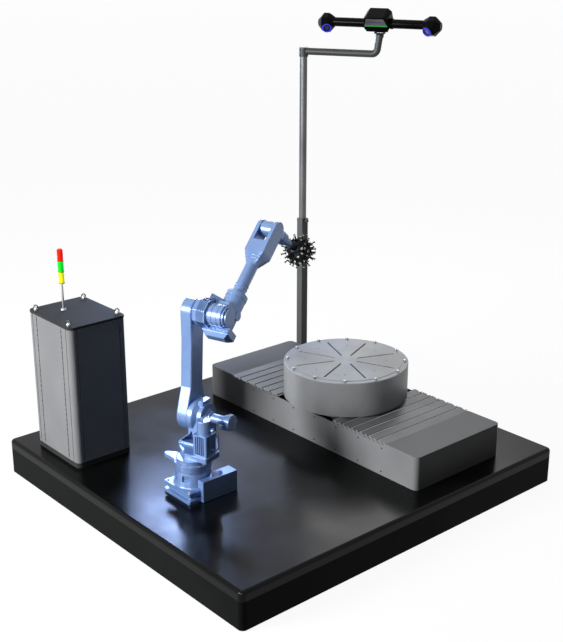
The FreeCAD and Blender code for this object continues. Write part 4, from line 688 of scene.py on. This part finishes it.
def makeRailScrews():
    v = railValues
    low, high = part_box("rail_side_plates")
    work = bmesh.new()
    count = int((high[1] - low[1]) / v["screwPitch"])
    for i in range(count + 1):
        y = low[1] + v["endInset"] + i * (high[1] - low[1] - 2 * v["endInset"]) / count
        for level in v["screwLevels"]:
            addScrew(work, (low[0], y, level), (-1, 0, 0), v["screwRadius"])
            addScrew(work, (high[0], y, level), (1, 0, 0), v["screwRadius"])
    finishPiece("railScrews", work, "blackenedSteel", "platform")


makeRailScrews()
print("rail details made")


# cabinet details

cabinetValues = {"rows": 25, "radius": 0.0075, "seamInset": 0.088, "nearInset": 0.190, "seamWidth": 0.0070,
                 "seamProud": 0.0015, "seamEnd": 0.02, "rowEnd": 0.06}


def makeCabinetScrews():
    v = cabinetValues
    low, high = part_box("cabinet_panels")
    screws, seamShades = bmesh.new(), bmesh.new()
    half = v["seamWidth"] / 2
    places = [(low[0], low[1] + v["nearInset"], -1, 0), (low[0], high[1] - v["seamInset"], -1, 0)]
    for x in (low[0] + v["seamInset"], high[0] - v["seamInset"]):
        places += [(x, low[1], 0, -1), (x, high[1], 0, 1)]
    for x, y, outX, outY in places:
        reachX = abs(outX) * v["seamProud"] + abs(outY) * half
        reachY = abs(outY) * v["seamProud"] + abs(outX) * half
        # a dark strip along each panel joint paints the shade that falls into the real gap there
        addBlock(seamShades, Matrix(), (x - reachX, y - reachY, low[2] + v["seamEnd"]),
                 (x + reachX, y + reachY, high[2] - v["seamEnd"]))
        for i in range(v["rows"]):
            z = low[2] + v["rowEnd"] + i * (high[2] - low[2] - 2 * v["rowEnd"]) / (v["rows"] - 1)
            addScrew(screws, (x, y, z), (outX, outY, 0), v["radius"])
    finishPiece("cabinetScrews", screws, "blackenedSteel", "platform")
    finishPiece("cabinetSeamShades", seamShades, "rubberAndPaintedShade", "platform")


collarValues = {"radius": 0.027, "height": 0.034, "shoulder": 0.019, "inset": 0.16, "seat": 0.001, "above": 0.1,
                "straight": 0.5}


def makeEyeboltCollars():
    # turned collars under the four lifting eyes, found from the eyes themselves
    v = collarValues
    low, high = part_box("cabinet_eyebolts")
    work = bmesh.new()
    for cornerX in (low[0], high[0]):
        for cornerY in (low[1], high[1]):
            spots = [point.co for point in nodes["cabinet_eyebolts"].data.vertices
                     if abs(point.co.x - cornerX) < v["inset"] and abs(point.co.y - cornerY) < v["inset"]]
            x = (min(spot.x for spot in spots) + max(spot.x for spot in spots)) / 2
            y = (min(spot.y for spot in spots) + max(spot.y for spot in spots)) / 2
            seat = surfacePoint("cabinet_top", (x + v["radius"], y, high[2] + v["above"]), -upward)
            base = Vector((x, y, seat.z))
            waist = base + upward * v["height"] * v["straight"]
            addRod(work, base - upward * v["seat"], waist, v["radius"], 24)
            addRod(work, waist, base + upward * v["height"], v["radius"], 24, v["shoulder"])
    finishPiece("eyeboltCollars", work, "zincSteel", "platform")


makeCabinetScrews()
makeEyeboltCollars()
print("cabinet details made")


# folding covers of the rail

# a bright rod along each slat's ridge paints its highlight and a dark rod just behind it paints the step's shade;
# both lie at these shares of each slat's pitch
bellowsValues = {"slats": 6, "crestHighlight": 0.0050, "crestAt": 0.91, "shadeStrip": 0.0070, "shadeStripAt": 0.96, "rodInset": 0.003,
                 "foldThickness": 0.0060, "foldsPerSlat": 2, "foldSide": 0.001, "foldInset": 0.002, "merge": 0.00001}


def makeBellows(name, node, fixedEnd, movingEnd):
    v = bellowsValues
    low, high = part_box(node)
    slats, crestHighlights, shadeStrips, folds = bmesh.new(), bmesh.new(), bmesh.new(), bmesh.new()
    slats.from_mesh(nodes[node].data)
    bmesh.ops.remove_doubles(slats, verts=slats.verts[:], dist=v["merge"])
    pitch = (movingEnd - fixedEnd) / v["slats"]
    step = pitch / v["foldsPerSlat"]
    left, right, rodLevel = low[0] + v["rodInset"], high[0] - v["rodInset"], high[2] - v["rodInset"]
    foldLow, foldHigh = low[2] + v["foldInset"], high[2] - v["foldInset"]
    for i in range(v["slats"]):
        # painted highlight on the ridge, then painted shade of the step just behind it
        top = fixedEnd + (i + v["crestAt"]) * pitch
        shadeAt = fixedEnd + (i + v["shadeStripAt"]) * pitch
        addRod(crestHighlights, (left, top, rodLevel), (right, top, rodLevel), v["crestHighlight"], 8)
        addRod(shadeStrips, (left, shadeAt, rodLevel), (right, shadeAt, rodLevel), v["shadeStrip"], 8)
        for k in range(v["foldsPerSlat"]):
            near = fixedEnd + i * pitch + k * step
            for x in (low[0] + v["foldSide"], high[0] - v["foldSide"]):
                ridge = (x, near + step / 2, foldHigh)
                addRod(folds, (x, near, foldLow), ridge, v["foldThickness"], 6)
                addRod(folds, ridge, (x, near + step, foldLow), v["foldThickness"], 6)
    made = [finishPiece(name + "Slats", slats, "slatSteel", None),
            finishPiece(name + "CrestHighlights", crestHighlights, "zincSteel", None),
            finishPiece(name + "ShadeStrips", shadeStrips, "rubberAndPaintedShade", None),
            finishPiece(name + "Folds", folds, "zincSteel", None)]
    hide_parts(node)
    for piece in made:
        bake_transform(piece)


nearBox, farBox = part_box("bellows_near"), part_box("bellows_far")
makeBellows("nearBellows", "bellows_near", nearBox[0][1], nearBox[1][1])
makeBellows("farBellows", "bellows_far", farBox[1][1], farBox[0][1])
print("bellows made")


# signal lamps

lampValues = {"ribs": 7, "ribThickness": 0.0016, "ribDepth": 0.0004, "firstRib": 0.75, "spareRibs": 0.5,
              "seal": 0.003, "sealDepth": 0.001}


def makeLampRibs():
    v = lampValues
    seals = bmesh.new()
    for colour in ("red", "green", "yellow"):
        low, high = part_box("stack_light_" + colour)
        middle = ((low[0] + high[0]) / 2, (low[1] + high[1]) / 2)
        radius = (high[0] - low[0]) / 2
        work = bmesh.new()
        for i in range(v["ribs"]):
            z = low[2] + (i + v["firstRib"]) * (high[2] - low[2]) / (v["ribs"] + v["spareRibs"])
            addRing(work, (*middle, z), upward, radius - v["ribDepth"], v["ribThickness"], 32)
        finishPiece(colour + "LampRibs", work, colour + "Polycarbonate", "platform")
        addRing(seals, (*middle, low[2] + v["seal"]), upward, radius - v["sealDepth"], v["seal"], 32)
    finishPiece("lampSeals", seals, "rubberAndPaintedShade", "platform")


makeLampRibs()
print("signal lamps made")


# stage, light and camera

# the floor and the world are white where they are seen or mirrored, and light the part only a little
stageValues = {"floorSize": 240.0, "floorColour": "#505050", "floorGlow": 0.94, "floorRough": 0.9, "floorGloss": 0.1,
               "ambient": 0.02}


def whiteWhenSeen(material, strength, other):
    # one strength for rays from the camera, mirrors and glass, the other for light that falls on the part
    path = addNode(material, "ShaderNodeLightPath")
    seen = addNode(material, "ShaderNodeMath", {"operation": "MAXIMUM"},
                   {0: path.outputs["Is Camera Ray"], 1: path.outputs["Is Glossy Ray"]})
    both = addNode(material, "ShaderNodeMath", {"operation": "MAXIMUM"},
                   {0: seen.outputs["Value"], 1: path.outputs["Is Transmission Ray"]})
    return addNode(material, "ShaderNodeMapRange", {"To Min": other, "To Max": strength},
                   {"Value": both.outputs["Value"]}).outputs["Result"]


def makeWorld():
    world = bpy.data.worlds.new("studio")
    world.use_nodes = True
    bpy.context.scene.world = world
    light = world.node_tree.nodes["Background"]
    light.inputs["Color"].default_value = (1, 1, 1, 1)
    world.node_tree.links.new(whiteWhenSeen(world, 1.0, stageValues["ambient"]), light.inputs["Strength"])


def makeFloor():
    mesh = bpy.data.meshes.new("floor")
    work = bmesh.new()
    bmesh.ops.create_grid(work, x_segments=1, y_segments=1, size=stageValues["floorSize"] / 2)
    work.to_mesh(mesh)
    work.free()
    floor = bpy.data.objects.new("floor", mesh)
    bpy.context.scene.collection.objects.link(floor)
    material, shader = newMaterial("paleFloor", {"Roughness": stageValues["floorRough"],
                                                 "Specular IOR Level": stageValues["floorGloss"],
                                                 "Emission Color": (1, 1, 1, 1)})
    shader.inputs["Base Color"].default_value = linearColour(stageValues["floorColour"])
    glow = whiteWhenSeen(material, stageValues["floorGlow"], 0.0)
    material.node_tree.links.new(glow, shader.inputs["Emission Strength"])
    mesh.materials.append(material)


# places in metres, sizes across and along, powers in watts
lamps = {
    "windowSide": {"from": (-15.0, 2.6, 6.0), "at": (-0.5, 0.0, 1.4), "size": (5.0, 5.0), "power": 3500.0},
    "overhead": {"from": (-2.0, 3.0, 13.0), "at": (0.0, 0.0, 0.5), "size": (9.0, 9.0), "power": 170.0},
    "backRim": {"from": (9.0, 6.0, 8.0), "at": (0.0, 0.0, 1.5), "size": (5.0, 4.0), "power": 190.0},
    # the two glints stand where the deck mirrors them into the camera; the streak gives the castings and the
    # drum a soft highlight from the left
    "frontGlint": {"from": (2.45, 5.7, 4.84), "at": (-2.05, -0.75, 0.44), "size": (1.3, 0.9), "power": 240.0,
                   "colour": "#A9C4FF", "glossOnly": True},
    "farGlint": {"from": (5.4, 6.8, 3.7), "at": (-1.2, -1.0, 0.44), "size": (1.6, 2.0), "power": 40.0,
                 "colour": "#C9D8FF", "glossOnly": True},
    "drumStreak": {"from": (-10.1, -4.6, 4.6), "at": (1.0, -0.1, 1.0), "size": (1.6, 4.0), "power": 800.0,
                   "glossOnly": True},
    "nearSide": {"from": (-6.0, -14.0, 7.0), "at": (0.0, 0.0, 1.5), "size": (6.0, 6.0), "power": 6.0},
}


def aim(place, target):
    return (Vector(target) - Vector(place)).to_track_quat("-Z", "Y").to_euler()


def makeLamps():
    for name, values in lamps.items():
        lamp = bpy.data.lights.new(name, "AREA")
        lamp.shape = "RECTANGLE"
        lamp.size, lamp.size_y = values["size"]
        lamp.energy = values["power"]
        lamp.color = linearColour(values.get("colour", "#FFFFFF"))[:3]
        holder = bpy.data.objects.new(name, lamp)
        holder.location = values["from"]
        holder.rotation_euler = aim(values["from"], values["at"])
        holder.visible_camera = False
        holder.visible_diffuse = not values.get("glossOnly", False)
        bpy.context.scene.collection.objects.link(holder)


# solved from the edges of the platform, the rail and the cabinet in the photo
cameraValues = {"place": (-8.1495, -9.4536, 6.3936), "turn": (70.65, 0.0, -40.93), "lens": 63.65, "sensor": 36.0,
                "farthest": 200.0}


def makeCamera():
    v = cameraValues
    camera = bpy.data.cameras.new("camera")
    camera.lens = v["lens"]
    camera.sensor_width = v["sensor"]
    camera.clip_end = v["farthest"]
    holder = bpy.data.objects.new("camera", camera)
    holder.location = v["place"]
    holder.rotation_euler = [math.radians(angle) for angle in v["turn"]]
    bpy.context.scene.collection.objects.link(holder)
    bpy.context.scene.camera = holder


makeWorld()
makeFloor()
makeLamps()
makeCamera()
bpy.context.scene.view_settings.view_transform = "Standard"
print("stage, lamps and camera ready")
